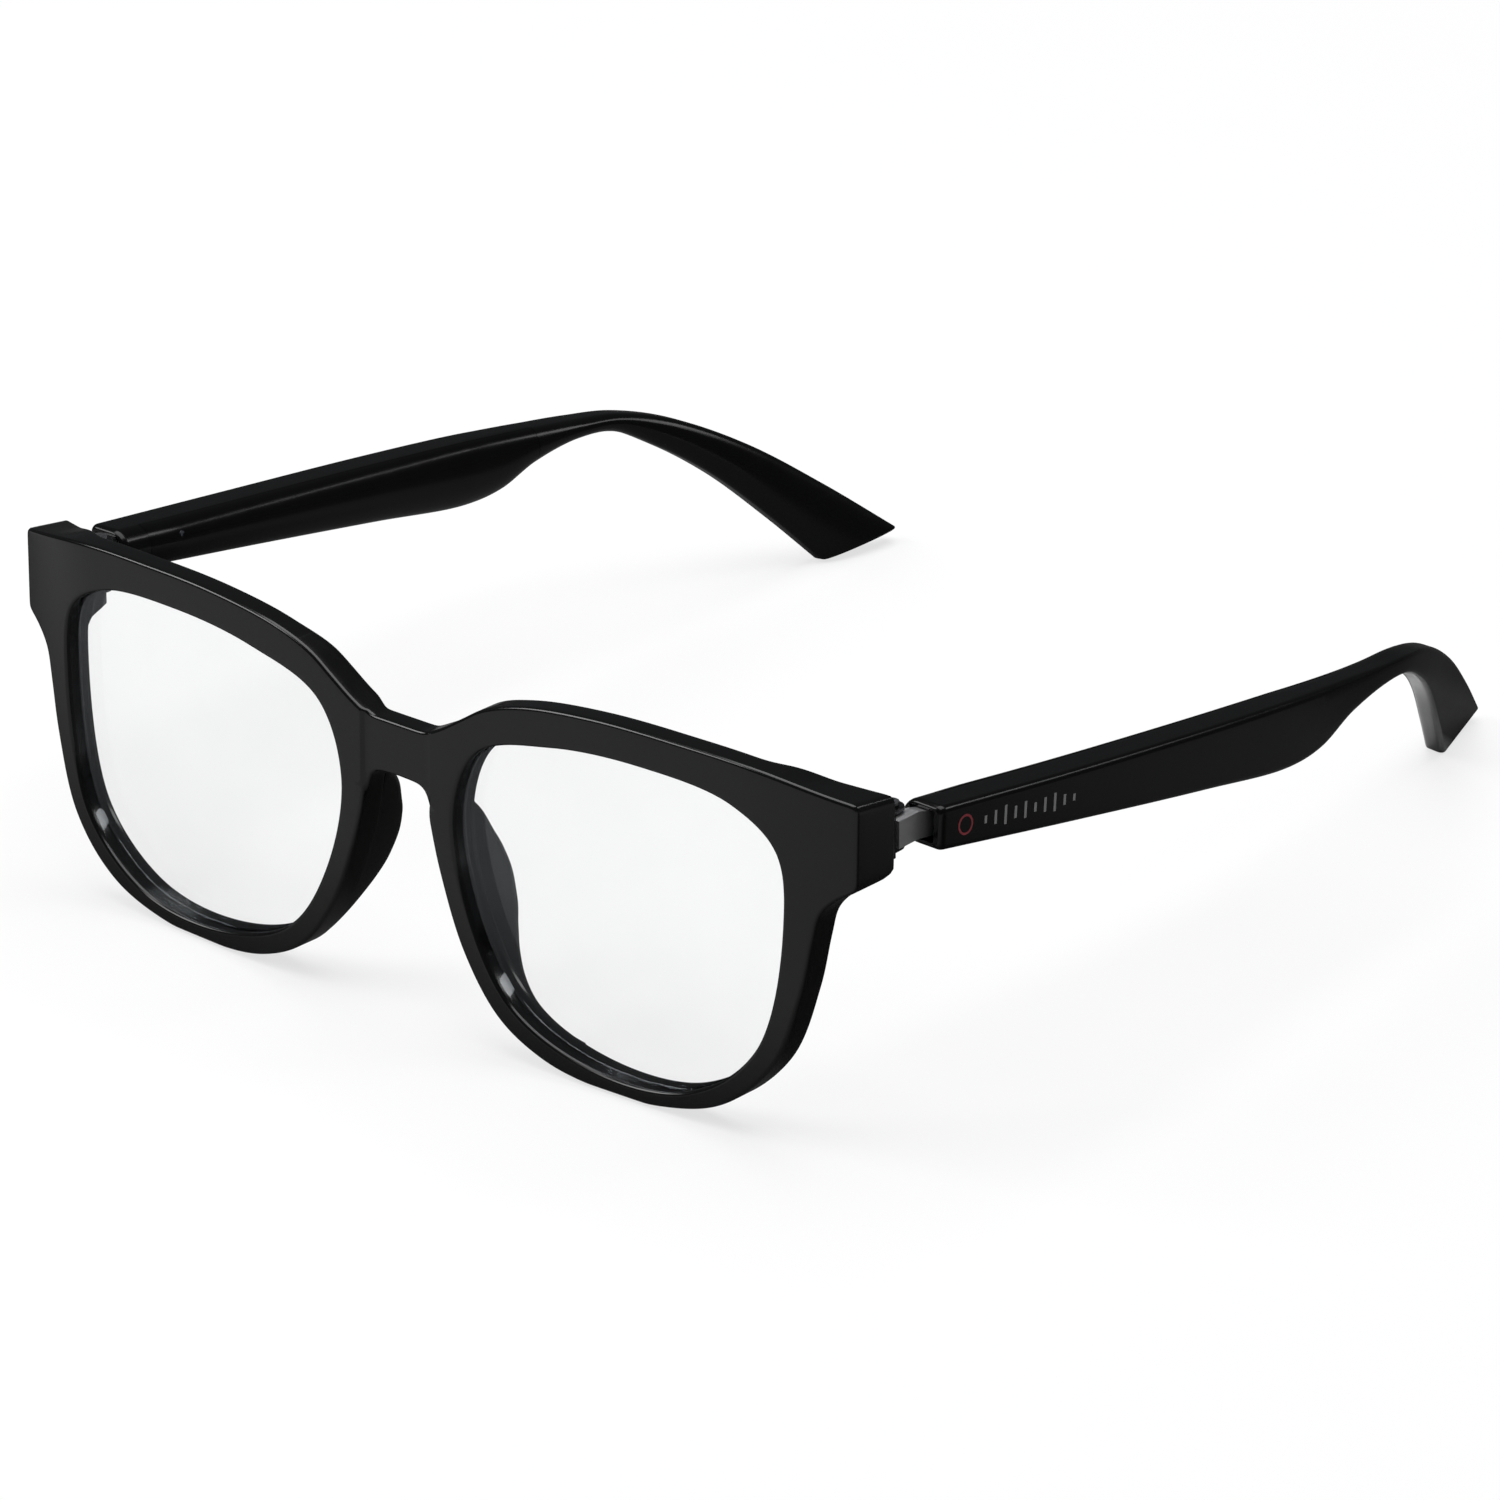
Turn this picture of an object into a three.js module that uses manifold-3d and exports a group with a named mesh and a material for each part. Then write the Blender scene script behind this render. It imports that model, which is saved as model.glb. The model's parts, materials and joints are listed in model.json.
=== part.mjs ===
// Smart glasses: a plain front with clear lenses, and two temples that each hold a whole audio unit.
// Millimetres. X runs to the wearer's left, Y back along the temples, Z up. The glasses stand open on
// the plane z = 0, on the two rims and the two ear tips, and x = 0 is the plane of symmetry.
import * as THREE from "three";
import { mergeVertices } from "three/addons/utils/BufferGeometryUtils.js";
import Module from "manifold-3d";

const kernel = await Module();
kernel.setup();

// ---------------------------------------------------------------- driving dimensions
const FRONT_HALF_WIDTH = 69.5;
const FRONT_THICKNESS = 4.4;
const FRONT_CHAMFER = 0.6;
const FRONT_LEAN = 1.6; // degrees, top of the front towards the wearer
const FACE_CURVE = 0.00065; // depth = FACE_CURVE * x^2
const SWEEP = 0.009; // extra depth of the end pieces beyond SWEEP_FROM
const SWEEP_FROM = 54;
const LENS_THICKNESS = 2.0;
const LENS_FRONT = 1.2; // depth of the lens front behind the rim's face
const GROOVE_DEPTH = 0.9;
const LENS_BITE = 0.6; // how far the lens runs into the groove
const FIT = 0.3; // gap between neighbouring pieces
const BRIDGE_HALF_WIDTH = 5.6;
const BRIDGE_SET_BACK = 0.5;
const PAD_WIDTH = 2.5;
const LUG = {
  inner: 61.2, back: 12.1, slant: 0.42, bottom: 35.7, shoulder: 44.1, top: 46.5, browSlope: 0.19, fall: 0.2,
};
const PIVOT = { x: 66.4, y: 16.6, bottom: 36.7, top: 43.0, radius: 0.7 };
const SCREWS = { x: 63.6, heights: [38.3, 41.7] }; // bracket screws
const KNUCKLE = { radius: 1.8, bottom: 38.1, top: 41.7 };
const LINK = { front: 14.8, inner: 67.4, outer: 69.2, tail: 26.0 };
const WALL = 1.1; // temple shell wall
const SEAM = 0.64; // where shell and cover meet, as a share of the temple's thickness
const COVER_START = 24.5;
const COVER_END = 104;
const BUTTON_AT = 36.5;
const BUTTON_PROUD = 0.35;
const CONTACTS_AT = [51, 55];
const LIGHT_AT = 30.5;

// Lens opening of the left eye, as (x, height) points that a closed smooth curve runs through.
const OPENING = [
  [60.2, 29.5], [58.9, 39.0], [52.5, 43.3], [39, 44.6], [25, 43.4], [13.4, 39.6],
  [9.5, 30.5], [12.0, 17.5], [19.0, 6.9], [32, 2.3], [46.5, 3.6], [56.6, 12.0],
];
// Outer edge of the left half of the front: from the bridge over the brow to the end piece.
const BROW = [
  [4.4, 39.8], [7.6, 41.4], [10.9, 43.5], [14.6, 45.8], [21, 47.8], [32, 49.1], [44, 49.3],
  [57, 48.8], [69.5, 46.7],
];
// From the end piece round under the rim and up the nose side to the bridge.
const UNDER = [
  [69.5, 35.6], [67.0, 34.1], [65.0, 31.8], [64.1, 28.0], [62.7, 20.6], [59.2, 10.6],
  [51.7, 3.3], [42, 0.3], [32, 0.0], [24, 1.2], [16.8, 4.8], [11.2, 12.0], [7.2, 22.0], [5.0, 30.6],
];
const BRIDGE_UNDER = [[5.0, 30.6], [4.1, 32.2], [0, 32.7]];
// How far a nose pad stands behind the rim, as (place from the chin, 0, to the bridge, 1, and reach).
const PAD_REACH = [
  [0.99, 1.4], [0.92, 3.9], [0.86, 5.0], [0.80, 6.0], [0.74, 6.5], [0.68, 6.1],
  [0.61, 4.7], [0.54, 3.2], [0.46, 2.0], [0.36, 1.2], [0.24, 0.7], [0.13, 0.3],
];

// Temple of the wearer's left, at stations from the hinge to the ear tip:
// top edge (y, z), bottom edge (y, z), x of the outer face at the top and at the bottom, thickness.
const STATIONS = [
  [20.0, 42.3, 19.6, 36.6, 71.6, 71.6, 7.0],
  [45.0, 38.8, 44.5, 31.9, 72.6, 72.6, 6.9],
  [72.0, 35.2, 71.5, 26.8, 73.2, 73.2, 6.8],
  [90.0, 32.8, 89.5, 23.5, 73.0, 73.0, 6.4],
  [97.0, 31.8, 97.0, 23.6, 72.6, 72.6, 5.9],
  [104, 30.8, 104, 25.6, 72.0, 72.0, 5.2],
  [113, 29.4, 112, 26.5, 71.0, 71.0, 4.5],
  [121, 28.0, 119.5, 25.6, 69.6, 69.6, 4.1],
  [129.5, 25.2, 126.5, 21.8, 66.8, 67.2, 4.0],
  [141.0, 18.6, 134.5, 15.6, 62.2, 63.4, 4.0],
  [152.0, 10.2, 142.5, 7.4, 57.4, 59.2, 4.0],
  [162.8, 1.2, 149.6, -0.55, 52.3, 55.4, 3.8],
];

// ---------------------------------------------------------------- materials
const finish = (color, roughness, metalness = 0) =>
  new THREE.MeshStandardMaterial({ color, roughness, metalness });

function glass() {
  const material = finish(0xf2f6f8, 0.05);
  material.transparent = true;
  material.opacity = 0.3;
  return material;
}

// ---------------------------------------------------------------- geometry helpers
function toSolid(geometry) {
  const loose = geometry.index ? geometry.toNonIndexed() : geometry;
  const bare = new THREE.BufferGeometry().setAttribute("position", loose.getAttribute("position"));
  const welded = mergeVertices(bare, 1e-4);
  return new kernel.Manifold(
    new kernel.Mesh({
      numProp: 3,
      vertProperties: welded.attributes.position.array,
      triVerts: new Uint32Array(welded.index.array),
    }),
  );
}

function toGeometry(solid) {
  const mesh = solid.getMesh();
  return new THREE.BufferGeometry()
    .setAttribute("position", new THREE.BufferAttribute(new Float32Array(mesh.vertProperties), 3))
    .setIndex(new THREE.BufferAttribute(new Uint32Array(mesh.triVerts), 1));
}

const subtract = (body, ...tools) => tools.reduce((rest, tool) => rest.subtract(toSolid(tool)), body);
const unite = (first, ...others) => others.reduce((sum, other) => sum.add(toSolid(other)), toSolid(first));

function smoothCurve(points, closed = false) {
  const path = points.map(([x, y]) => new THREE.Vector3(x, y, 0));
  return new THREE.CatmullRomCurve3(path, closed);
}

function sampled(points, closed, count) {
  const run = smoothCurve(points, closed).getPoints(count);
  if (closed) run.pop();
  return run.map((p) => [p.x, p.y]);
}

// Moves a closed counter-clockwise outline outwards by a distance.
function offset(outline, distance) {
  return outline.map(([x, y], i) => {
    const before = outline[(i + outline.length - 1) % outline.length];
    const after = outline[(i + 1) % outline.length];
    const along = [after[0] - before[0], after[1] - before[1]];
    const length = Math.hypot(along[0], along[1]);
    return [x + (along[1] / length) * distance, y - (along[0] / length) * distance];
  });
}

const toShape = (outline) => new THREE.Shape(outline.map(([x, y]) => new THREE.Vector2(x, y)));

// Extrudes an outline of (x, height) backwards, from depth `start` over `thickness`.
function slab(outline, holes, start, thickness, chamfer) {
  const shape = toShape(outline);
  shape.holes = holes.map((hole) => new THREE.Path(hole.map(([x, y]) => new THREE.Vector2(x, y))));
  const geometry = new THREE.ExtrudeGeometry(shape, {
    depth: thickness - 2 * chamfer,
    bevelEnabled: chamfer > 0,
    bevelThickness: chamfer,
    bevelSize: chamfer,
    bevelOffset: -chamfer,
    bevelSegments: 1,
  });
  geometry.translate(0, 0, chamfer - thickness - start);
  return geometry.rotateX(Math.PI / 2);
}

// Closed body through a row of equal-sized rings of THREE.Vector3, with its faces turned outwards.
function loft(rings) {
  const corners = [];
  const size = rings[0].length;
  for (let i = 0; i + 1 < rings.length; i++) {
    for (let j = 0; j < size; j++) {
      const k = (j + 1) % size;
      corners.push(rings[i][j], rings[i][k], rings[i + 1][k]);
      corners.push(rings[i][j], rings[i + 1][k], rings[i + 1][j]);
    }
  }
  const last = rings[rings.length - 1];
  for (let j = 1; j + 1 < size; j++) {
    corners.push(rings[0][0], rings[0][j + 1], rings[0][j]);
    corners.push(last[0], last[j], last[j + 1]);
  }
  let volume = 0;
  for (let i = 0; i < corners.length; i += 3) {
    volume += corners[i].dot(corners[i + 1].clone().cross(corners[i + 2]));
  }
  if (volume < 0) corners.reverse();
  return new THREE.BufferGeometry().setFromPoints(corners);
}

// Bar between two points, with a round or many-sided section.
function bar(from, to, radius, sides = 16) {
  const length = from.distanceTo(to);
  const geometry = new THREE.CylinderGeometry(radius, radius, length, sides);
  const turn = new THREE.Quaternion().setFromUnitVectors(
    new THREE.Vector3(0, 1, 0),
    to.clone().sub(from).normalize(),
  );
  geometry.applyQuaternion(turn);
  const middle = from.clone().add(to).multiplyScalar(0.5);
  return geometry.translate(middle.x, middle.y, middle.z);
}

function box(x, y, z) {
  const geometry = new THREE.BoxGeometry(x[1] - x[0], y[1] - y[0], z[1] - z[0]);
  return geometry.translate((x[0] + x[1]) / 2, (y[0] + y[1]) / 2, (z[0] + z[1]) / 2);
}

const faceDepth = (x) => FACE_CURVE * x * x + SWEEP * Math.max(0, Math.abs(x) - SWEEP_FROM) ** 2;

// Wraps a flat front piece to the curve of the face.
function bend(geometry) {
  const p = geometry.getAttribute("position");
  for (let i = 0; i < p.count; i++) p.setY(i, p.getY(i) + faceDepth(p.getX(i)));
  return geometry;
}

// ---------------------------------------------------------------- front
const model = new THREE.Group();
model.name = "smart_glasses";
const front = new THREE.Group();
front.rotation.x = THREE.MathUtils.degToRad(-FRONT_LEAN);
model.add(front);

function addMesh(group, name, geometry, material) {
  const mesh = new THREE.Mesh(geometry, material);
  mesh.name = name;
  group.add(mesh);
}

const flip = (outline) => outline.map(([x, y]) => [-x, y]).reverse();
const opening = sampled(OPENING, true, 44);

// Runs from the middle of the bridge's underside round the left rim to the brow, and back by the right.
function frontOutline() {
  const left = [
    ...sampled(BRIDGE_UNDER, false, 4).reverse(),
    ...sampled(UNDER, false, 36).reverse().slice(1),
    ...sampled(BROW, false, 20).reverse(),
  ];
  return [...left, ...flip(left).slice(0, -1)];
}

// Block behind each end piece that carries the hinge. Above the hinge its back slants forward to the
// rim, and its top follows the brow and falls to the back.
function lug(side) {
  const plan = [
    [LUG.inner, 6.4], [FRONT_HALF_WIDTH, 6.4], [FRONT_HALF_WIDTH, LUG.back - 0.5],
    [FRONT_HALF_WIDTH - 0.5, LUG.back], [LUG.inner + 0.9, LUG.back], [LUG.inner, LUG.back - 2.4],
  ];
  const slanted = plan.map(([x, y]) => [x, Math.min(y, LUG.back - LUG.slant * (FRONT_HALF_WIDTH - x))]);
  const top = (x, y) => LUG.top + LUG.browSlope * (FRONT_HALF_WIDTH - x) - LUG.fall * (y - 6.4);
  const middle = [(LUG.inner + FRONT_HALF_WIDTH) / 2, (6.4 + LUG.back) / 2];
  const ring = (outline, height, inset) =>
    outline.map(([x, y]) => {
      const toward = [Math.sign(middle[0] - x) * inset, Math.sign(middle[1] - y) * inset];
      return new THREE.Vector3(side * (x + toward[0]), y + toward[1], height(x, y));
    });
  return loft([
    ring(plan, () => LUG.bottom, 0.5),
    ring(plan, () => LUG.bottom + 0.5, 0),
    ring(plan, () => LUG.shoulder, 0),
    ring(slanted, (x, y) => top(x, y) - 0.5, 0),
    ring(slanted, (x, y) => top(x, y), 0.4),
  ]);
}

function buildFront() {
  const flat = slab(frontOutline(), [opening, flip(opening)], 0, FRONT_THICKNESS, FRONT_CHAMFER);
  const grooveWidth = LENS_THICKNESS + 2 * FIT;
  const grooveAt = LENS_FRONT - FIT;
  const groove = (outline) => slab(offset(outline, GROOVE_DEPTH), [], grooveAt, grooveWidth, 0);
  const stepWidth = [-BRIDGE_HALF_WIDTH, BRIDGE_HALF_WIDTH];
  const step = box(stepWidth, [-1, BRIDGE_SET_BACK], [30, 43]);
  const rims = subtract(toSolid(flat), groove(opening), groove(flip(opening)), step);
  const screwHole = (side, z) => {
    const at = (y) => new THREE.Vector3(side * SCREWS.x, y, z + 0.35);
    return bar(at(LUG.back - 3), at(LUG.back + 1), 0.9, 12);
  };
  const solid = toSolid(bend(toGeometry(rims.refineToLength(9))));
  const withLugs = solid.add(toSolid(lug(1))).add(toSolid(lug(-1)));
  const holes = [1, -1].flatMap((side) => SCREWS.heights.map((z) => screwHole(side, z)));
  return toGeometry(subtract(withLugs, ...holes));
}

// Moulded fin along the nose side of a rim. It is deepest beside the nose and dies out at both ends.
function nosePad(side) {
  const nose = smoothCurve(UNDER.slice(-6));
  const ridge = smoothCurve(PAD_REACH);
  const rings = [];
  const count = 28;
  for (let i = 0; i <= count; i++) {
    const { x: place, y: reach } = ridge.getPoint(i / count);
    const edge = nose.getPoint(place);
    const along = nose.getTangent(place);
    const into = new THREE.Vector2(along.y, -along.x);
    const profile = [
      [0.15, 0], [0.3 + 0.03 * reach, 0.5 * reach], [0.55 + 0.06 * reach, 0.88 * reach],
      [1.0 + 0.07 * reach, reach], [1.5 + 0.06 * reach, 0.9 * reach],
      [PAD_WIDTH - 0.3, 0.5 * reach], [PAD_WIDTH, 0],
    ];
    rings.push(
      profile.map(([across, back]) => {
        const x = edge.x + into.x * across;
        const depth = FRONT_THICKNESS + 0.2 + back + faceDepth(x);
        return new THREE.Vector3(side * x, depth, edge.y + into.y * across);
      }),
    );
  }
  return loft(rings);
}

const lensOutline = offset(opening, LENS_BITE);
const lens = (outline) => bend(slab(outline, [], LENS_FRONT, LENS_THICKNESS, 0.3));
const acetate = () => finish(0x101012, 0.18);
addMesh(front, "front_frame", buildFront(), acetate());
addMesh(front, "lens_left", lens(lensOutline), glass());
addMesh(front, "lens_right", lens(flip(lensOutline)), glass());
addMesh(front, "nose_pad_left", nosePad(1), finish(0x141416, 0.22));
addMesh(front, "nose_pad_right", nosePad(-1), finish(0x141416, 0.22));

// ---------------------------------------------------------------- temple frame of reference
const edgeCurve = (iy, iz, ix) =>
  new THREE.CatmullRomCurve3(STATIONS.map((s) => new THREE.Vector3(s[ix], s[iy], s[iz])));
const topEdge = edgeCurve(0, 1, 4);
const bottomEdge = edgeCurve(2, 3, 5);
const thicknessCurve = new THREE.SplineCurve(STATIONS.map((s, i) => new THREE.Vector2(i, s[6])));

// Local frame at u (0 at the hinge, 1 at the tip): the middle of the outer face, the direction into
// the temple, the direction up its height, and its height and thickness there.
function frameAt(u) {
  const top = topEdge.getPoint(u);
  const bottom = bottomEdge.getPoint(u);
  const step = 0.004;
  const ahead = topEdge.getPoint(Math.min(1, u + step)).add(bottomEdge.getPoint(Math.min(1, u + step)));
  const behind = topEdge.getPoint(Math.max(0, u - step)).add(bottomEdge.getPoint(Math.max(0, u - step)));
  const along = ahead.sub(behind).normalize();
  const up = top.clone().sub(bottom).normalize();
  const inward = up.clone().cross(along).normalize();
  const middle = top.clone().add(bottom).multiplyScalar(0.5);
  return { middle, inward, up, height: top.distanceTo(bottom), thickness: thicknessCurve.getPoint(u).y };
}

function place(frame, inward, up) {
  return frame.middle.clone().addScaledVector(frame.inward, inward).addScaledVector(frame.up, up);
}

// The u whose section lies at a given y.
function uAt(y) {
  let low = 0;
  let high = 1;
  for (let i = 0; i < 30; i++) {
    const mid = (low + high) / 2;
    if (frameAt(mid).middle.y < y) low = mid;
    else high = mid;
  }
  return (low + high) / 2;
}

// Ten-sided temple section: flat chamfered outer face, full rounded inner face.
function templeSection(frame, inset = 0) {
  const t = frame.thickness - inset;
  const h = frame.height / 2 - inset;
  const c = Math.min(0.6, 0.22 * h);
  return [
    [inset, h - c], [inset, c - h], [inset + c, -h], [0.66 * t, -h], [0.88 * t, -0.66 * h],
    [t, -0.2 * h], [t, 0.2 * h], [0.88 * t, 0.66 * h], [0.66 * t, h], [inset + c, h],
  ].map(([w, v]) => place(frame, w, v));
}

// Block in temple terms between two y values. Limits are functions of the local frame, or numbers.
// A block that starts ahead of the temple runs straight out of its front end.
function blockAlong(y0, y1, w, v, steps = 4) {
  const rings = [];
  const value = (limit, frame) => (typeof limit === "function" ? limit(frame) : limit);
  const [u0, u1] = [uAt(y0), uAt(y1)];
  for (let i = 0; i <= steps; i++) {
    const frame = frameAt(u0 + ((u1 - u0) * i) / steps);
    const [w0, w1] = w.map((limit) => value(limit, frame));
    const [v0, v1] = v.map((limit) => value(limit, frame));
    rings.push([[w0, v0], [w1, v0], [w1, v1], [w0, v1]].map(([a, b]) => place(frame, a, b)));
  }
  const ahead = Math.max(0, frameAt(0).middle.y - y0);
  rings[0].forEach((point) => point.add(new THREE.Vector3(0, -ahead, 0.16 * ahead)));
  return loft(rings);
}

// Round bar at a given y, between two points of the section there.
function barAcross(y, from, to, radius, sides = 16) {
  const frame = frameAt(uAt(y));
  const point = ([w, v]) => place(frame, w, v);
  return bar(point(from(frame)), point(to(frame)), radius, sides);
}

const seam = (shift) => (frame) => SEAM * frame.thickness + shift;
const floorOf = (shift) => (frame) => -frame.height / 2 + shift;
const ceilingOf = (shift) => (frame) => frame.height / 2 + shift;
const coreAt = (shift) => (frame) => frame.thickness * 0.46 + shift;

// ---------------------------------------------------------------- hinge
const pivotAt = (z) => new THREE.Vector3(PIVOT.x, PIVOT.y, z);
const screwAt = (y, z) => new THREE.Vector3(SCREWS.x, y, z);

// Plate on the back of the end piece, with two ears that hold the pin.
function bracket() {
  const plate = box([62.3, 69.0], [13.6, 14.4], [37.0, 42.9]);
  const ear = (bottom, top) => {
    const tab = box([PIVOT.x - 1.7, PIVOT.x + 1.7], [14.2, PIVOT.y], [bottom, top]);
    return [tab, bar(pivotAt(bottom), pivotAt(top), 1.7, 20)];
  };
  const lower = ear(37.0, KNUCKLE.bottom - FIT);
  const upper = ear(KNUCKLE.top + FIT, 42.4);
  const pinHole = bar(pivotAt(35), pivotAt(45), PIVOT.radius + 0.08, 16);
  const screwHoles = SCREWS.heights.map((z) => bar(screwAt(13, z), screwAt(15, z), 0.9, 12));
  return toGeometry(subtract(unite(plate, ...lower, ...upper), pinHole, ...screwHoles));
}

function bracketScrew(z) {
  const head = bar(screwAt(14.8, z), screwAt(15.4, z), 0.95, 16);
  const shank = bar(screwAt(10.6, z), screwAt(15.0, z), 0.55, 12);
  const slot = box([62, 65], [15.15, 16], [z - 0.15, z + 0.15]);
  return toGeometry(subtract(unite(head, shank), slot));
}

function hingePin() {
  const shaft = bar(pivotAt(PIVOT.bottom), pivotAt(PIVOT.top - 0.2), PIVOT.radius, 16);
  const head = bar(pivotAt(PIVOT.top - 0.3), pivotAt(PIVOT.top), 1.1, 16);
  return toGeometry(unite(shaft, head));
}

// Silver block: a barrel on the pin with a square outer side, and a tongue that runs into the temple.
function hingeLink() {
  const barrel = bar(pivotAt(KNUCKLE.bottom), pivotAt(KNUCKLE.top), KNUCKLE.radius, 24);
  const ring = (y, bottom, top, trim = 0) => {
    const [a, b] = [LINK.inner + trim, LINK.outer - trim];
    return [[a, bottom], [b, bottom], [b, top], [a, top]].map(([x, z]) => new THREE.Vector3(x, y, z));
  };
  const shoulder = box([PIVOT.x, LINK.outer], [LINK.front, 18.4], [KNUCKLE.bottom, KNUCKLE.top]);
  const tongue = loft([
    ring(18.3, KNUCKLE.bottom, KNUCKLE.top),
    ring(18.6, KNUCKLE.bottom, KNUCKLE.top),
    ring(20.5, 37.75, 41.15),
    ring(LINK.tail - 0.4, 37.0, 40.1),
    ring(LINK.tail, 37.25, 39.8, 0.3),
  ]);
  const bore = bar(pivotAt(35), pivotAt(45), PIVOT.radius + 0.08, 16);
  return toGeometry(subtract(unite(barrel, shoulder, tongue), bore));
}

// ---------------------------------------------------------------- temple body
function templeBody() {
  const rings = [];
  const count = 34;
  rings.push(templeSection(frameAt(0), 0.5));
  for (let i = 0; i <= count; i++) {
    const u = 0.004 + (0.992 * i) / count;
    rings.push(templeSection(frameAt(u)));
  }
  rings.push(templeSection(frameAt(1), 0.6));
  return loft(rings);
}

const coverRegion = (grow) =>
  blockAlong(COVER_START - grow, COVER_END + grow, [seam(-grow), 9], [-9, 9], 10);

// Socket in the front of the temple for the link's tongue, with room to flex.
const pocket = () => blockAlong(16, 29, [1.2, 5.15], [-2.05, 2.05], 6);

function templeShell() {
  const cavity = blockAlong(27.5, 98, [WALL, 9], [floorOf(WALL), ceilingOf(-WALL)], 8);
  const channel = blockAlong(97, 150.6, [coreAt(-0.6), coreAt(0.6)], [-0.6, 0.6], 18);
  const buttonHole = blockAlong(BUTTON_AT - 3.5, BUTTON_AT + 3.5, [1.2, 3.8], [-6, -1], 2);
  const grilleHole = blockAlong(88, 96, [1.4, 3.7], [-7, -2], 3);
  const below = (frame) => -frame.height / 2 - 1;
  const micPort = barAcross(46, (f) => [3.1, below(f)], () => [3.1, -1], 0.35, 10);
  const contactHole = (y) => barAcross(y, (f) => [3.0, below(f)], () => [3.0, -1], 1.05, 16);
  const cuts = [pocket(), cavity, channel, buttonHole, grilleHole, micPort];
  return subtract(toSolid(templeBody()), coverRegion(0.15), ...cuts, ...CONTACTS_AT.map(contactHole));
}

function innerCover() {
  const window = barAcross(LIGHT_AT, () => [2, 1.2], () => [9, 1.2], 0.75, 16);
  const inner = toSolid(templeBody()).intersect(toSolid(coverRegion(-0.15)));
  return subtract(inner, window, pocket());
}

function button() {
  const cap = blockAlong(BUTTON_AT - 3.2, BUTTON_AT + 3.2, [1.5, 3.5], [floorOf(-BUTTON_PROUD), -1.7], 2);
  const flange = blockAlong(BUTTON_AT - 4.2, BUTTON_AT + 4.2, [1.4, 3.7], [-1.8, -1.35], 2);
  return toGeometry(unite(cap, flange));
}

function grille() {
  const plate = blockAlong(88.3, 95.7, [1.7, 3.4], [floorOf(0.2), floorOf(0.9)], 3);
  const slots = [0, 1, 2, 3, 4].map((i) =>
    blockAlong(89.1 + 1.3 * i, 89.8 + 1.3 * i, [2.0, 3.1], [-7, -2], 1),
  );
  return toGeometry(subtract(toSolid(plate), ...slots));
}

function speaker() {
  const can = blockAlong(88.4, 95.6, [1.4, 3.7], [-2.9, 1.8], 2);
  const magnet = blockAlong(89.8, 94.2, [1.7, 3.4], [1.6, 2.6], 1);
  return toGeometry(unite(can, magnet));
}

function circuitBoard() {
  const board = blockAlong(43, 62, [1.35, 1.9], [-1.75, 1.75], 3);
  const chips = [[48.5, 52], [53.5, 55.5], [57, 61]].map(([y0, y1]) =>
    blockAlong(y0, y1, [1.8, 2.6], [0.2, 1.5], 1),
  );
  return toGeometry(unite(board, ...chips));
}

// Coil that pushes the link's tongue, so that the temple closes again after it is opened too far.
function flexSpring() {
  const [start, end] = [26.6, 32.2];
  const frame = frameAt(uAt(29.4));
  const turns = 5;
  const points = [];
  const count = turns * 10;
  for (let i = 0; i <= count; i++) {
    const angle = (i / count) * turns * 2 * Math.PI;
    const point = place(frame, 3.0 + 0.85 * Math.cos(angle), 0.85 * Math.sin(angle));
    const along = (start + ((end - start) * i) / count - frame.middle.y);
    points.push(point.add(new THREE.Vector3(0.03 * along, along, -0.16 * along)));
  }
  const wire = toShape([0, 1, 2, 3, 4].map((i) => [
    0.17 * Math.cos(i * 0.4 * Math.PI),
    0.17 * Math.sin(i * 0.4 * Math.PI),
  ]));
  return new THREE.ExtrudeGeometry(wire, {
    steps: count,
    extrudePath: new THREE.CatmullRomCurve3(points),
    bevelEnabled: false,
  });
}

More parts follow.
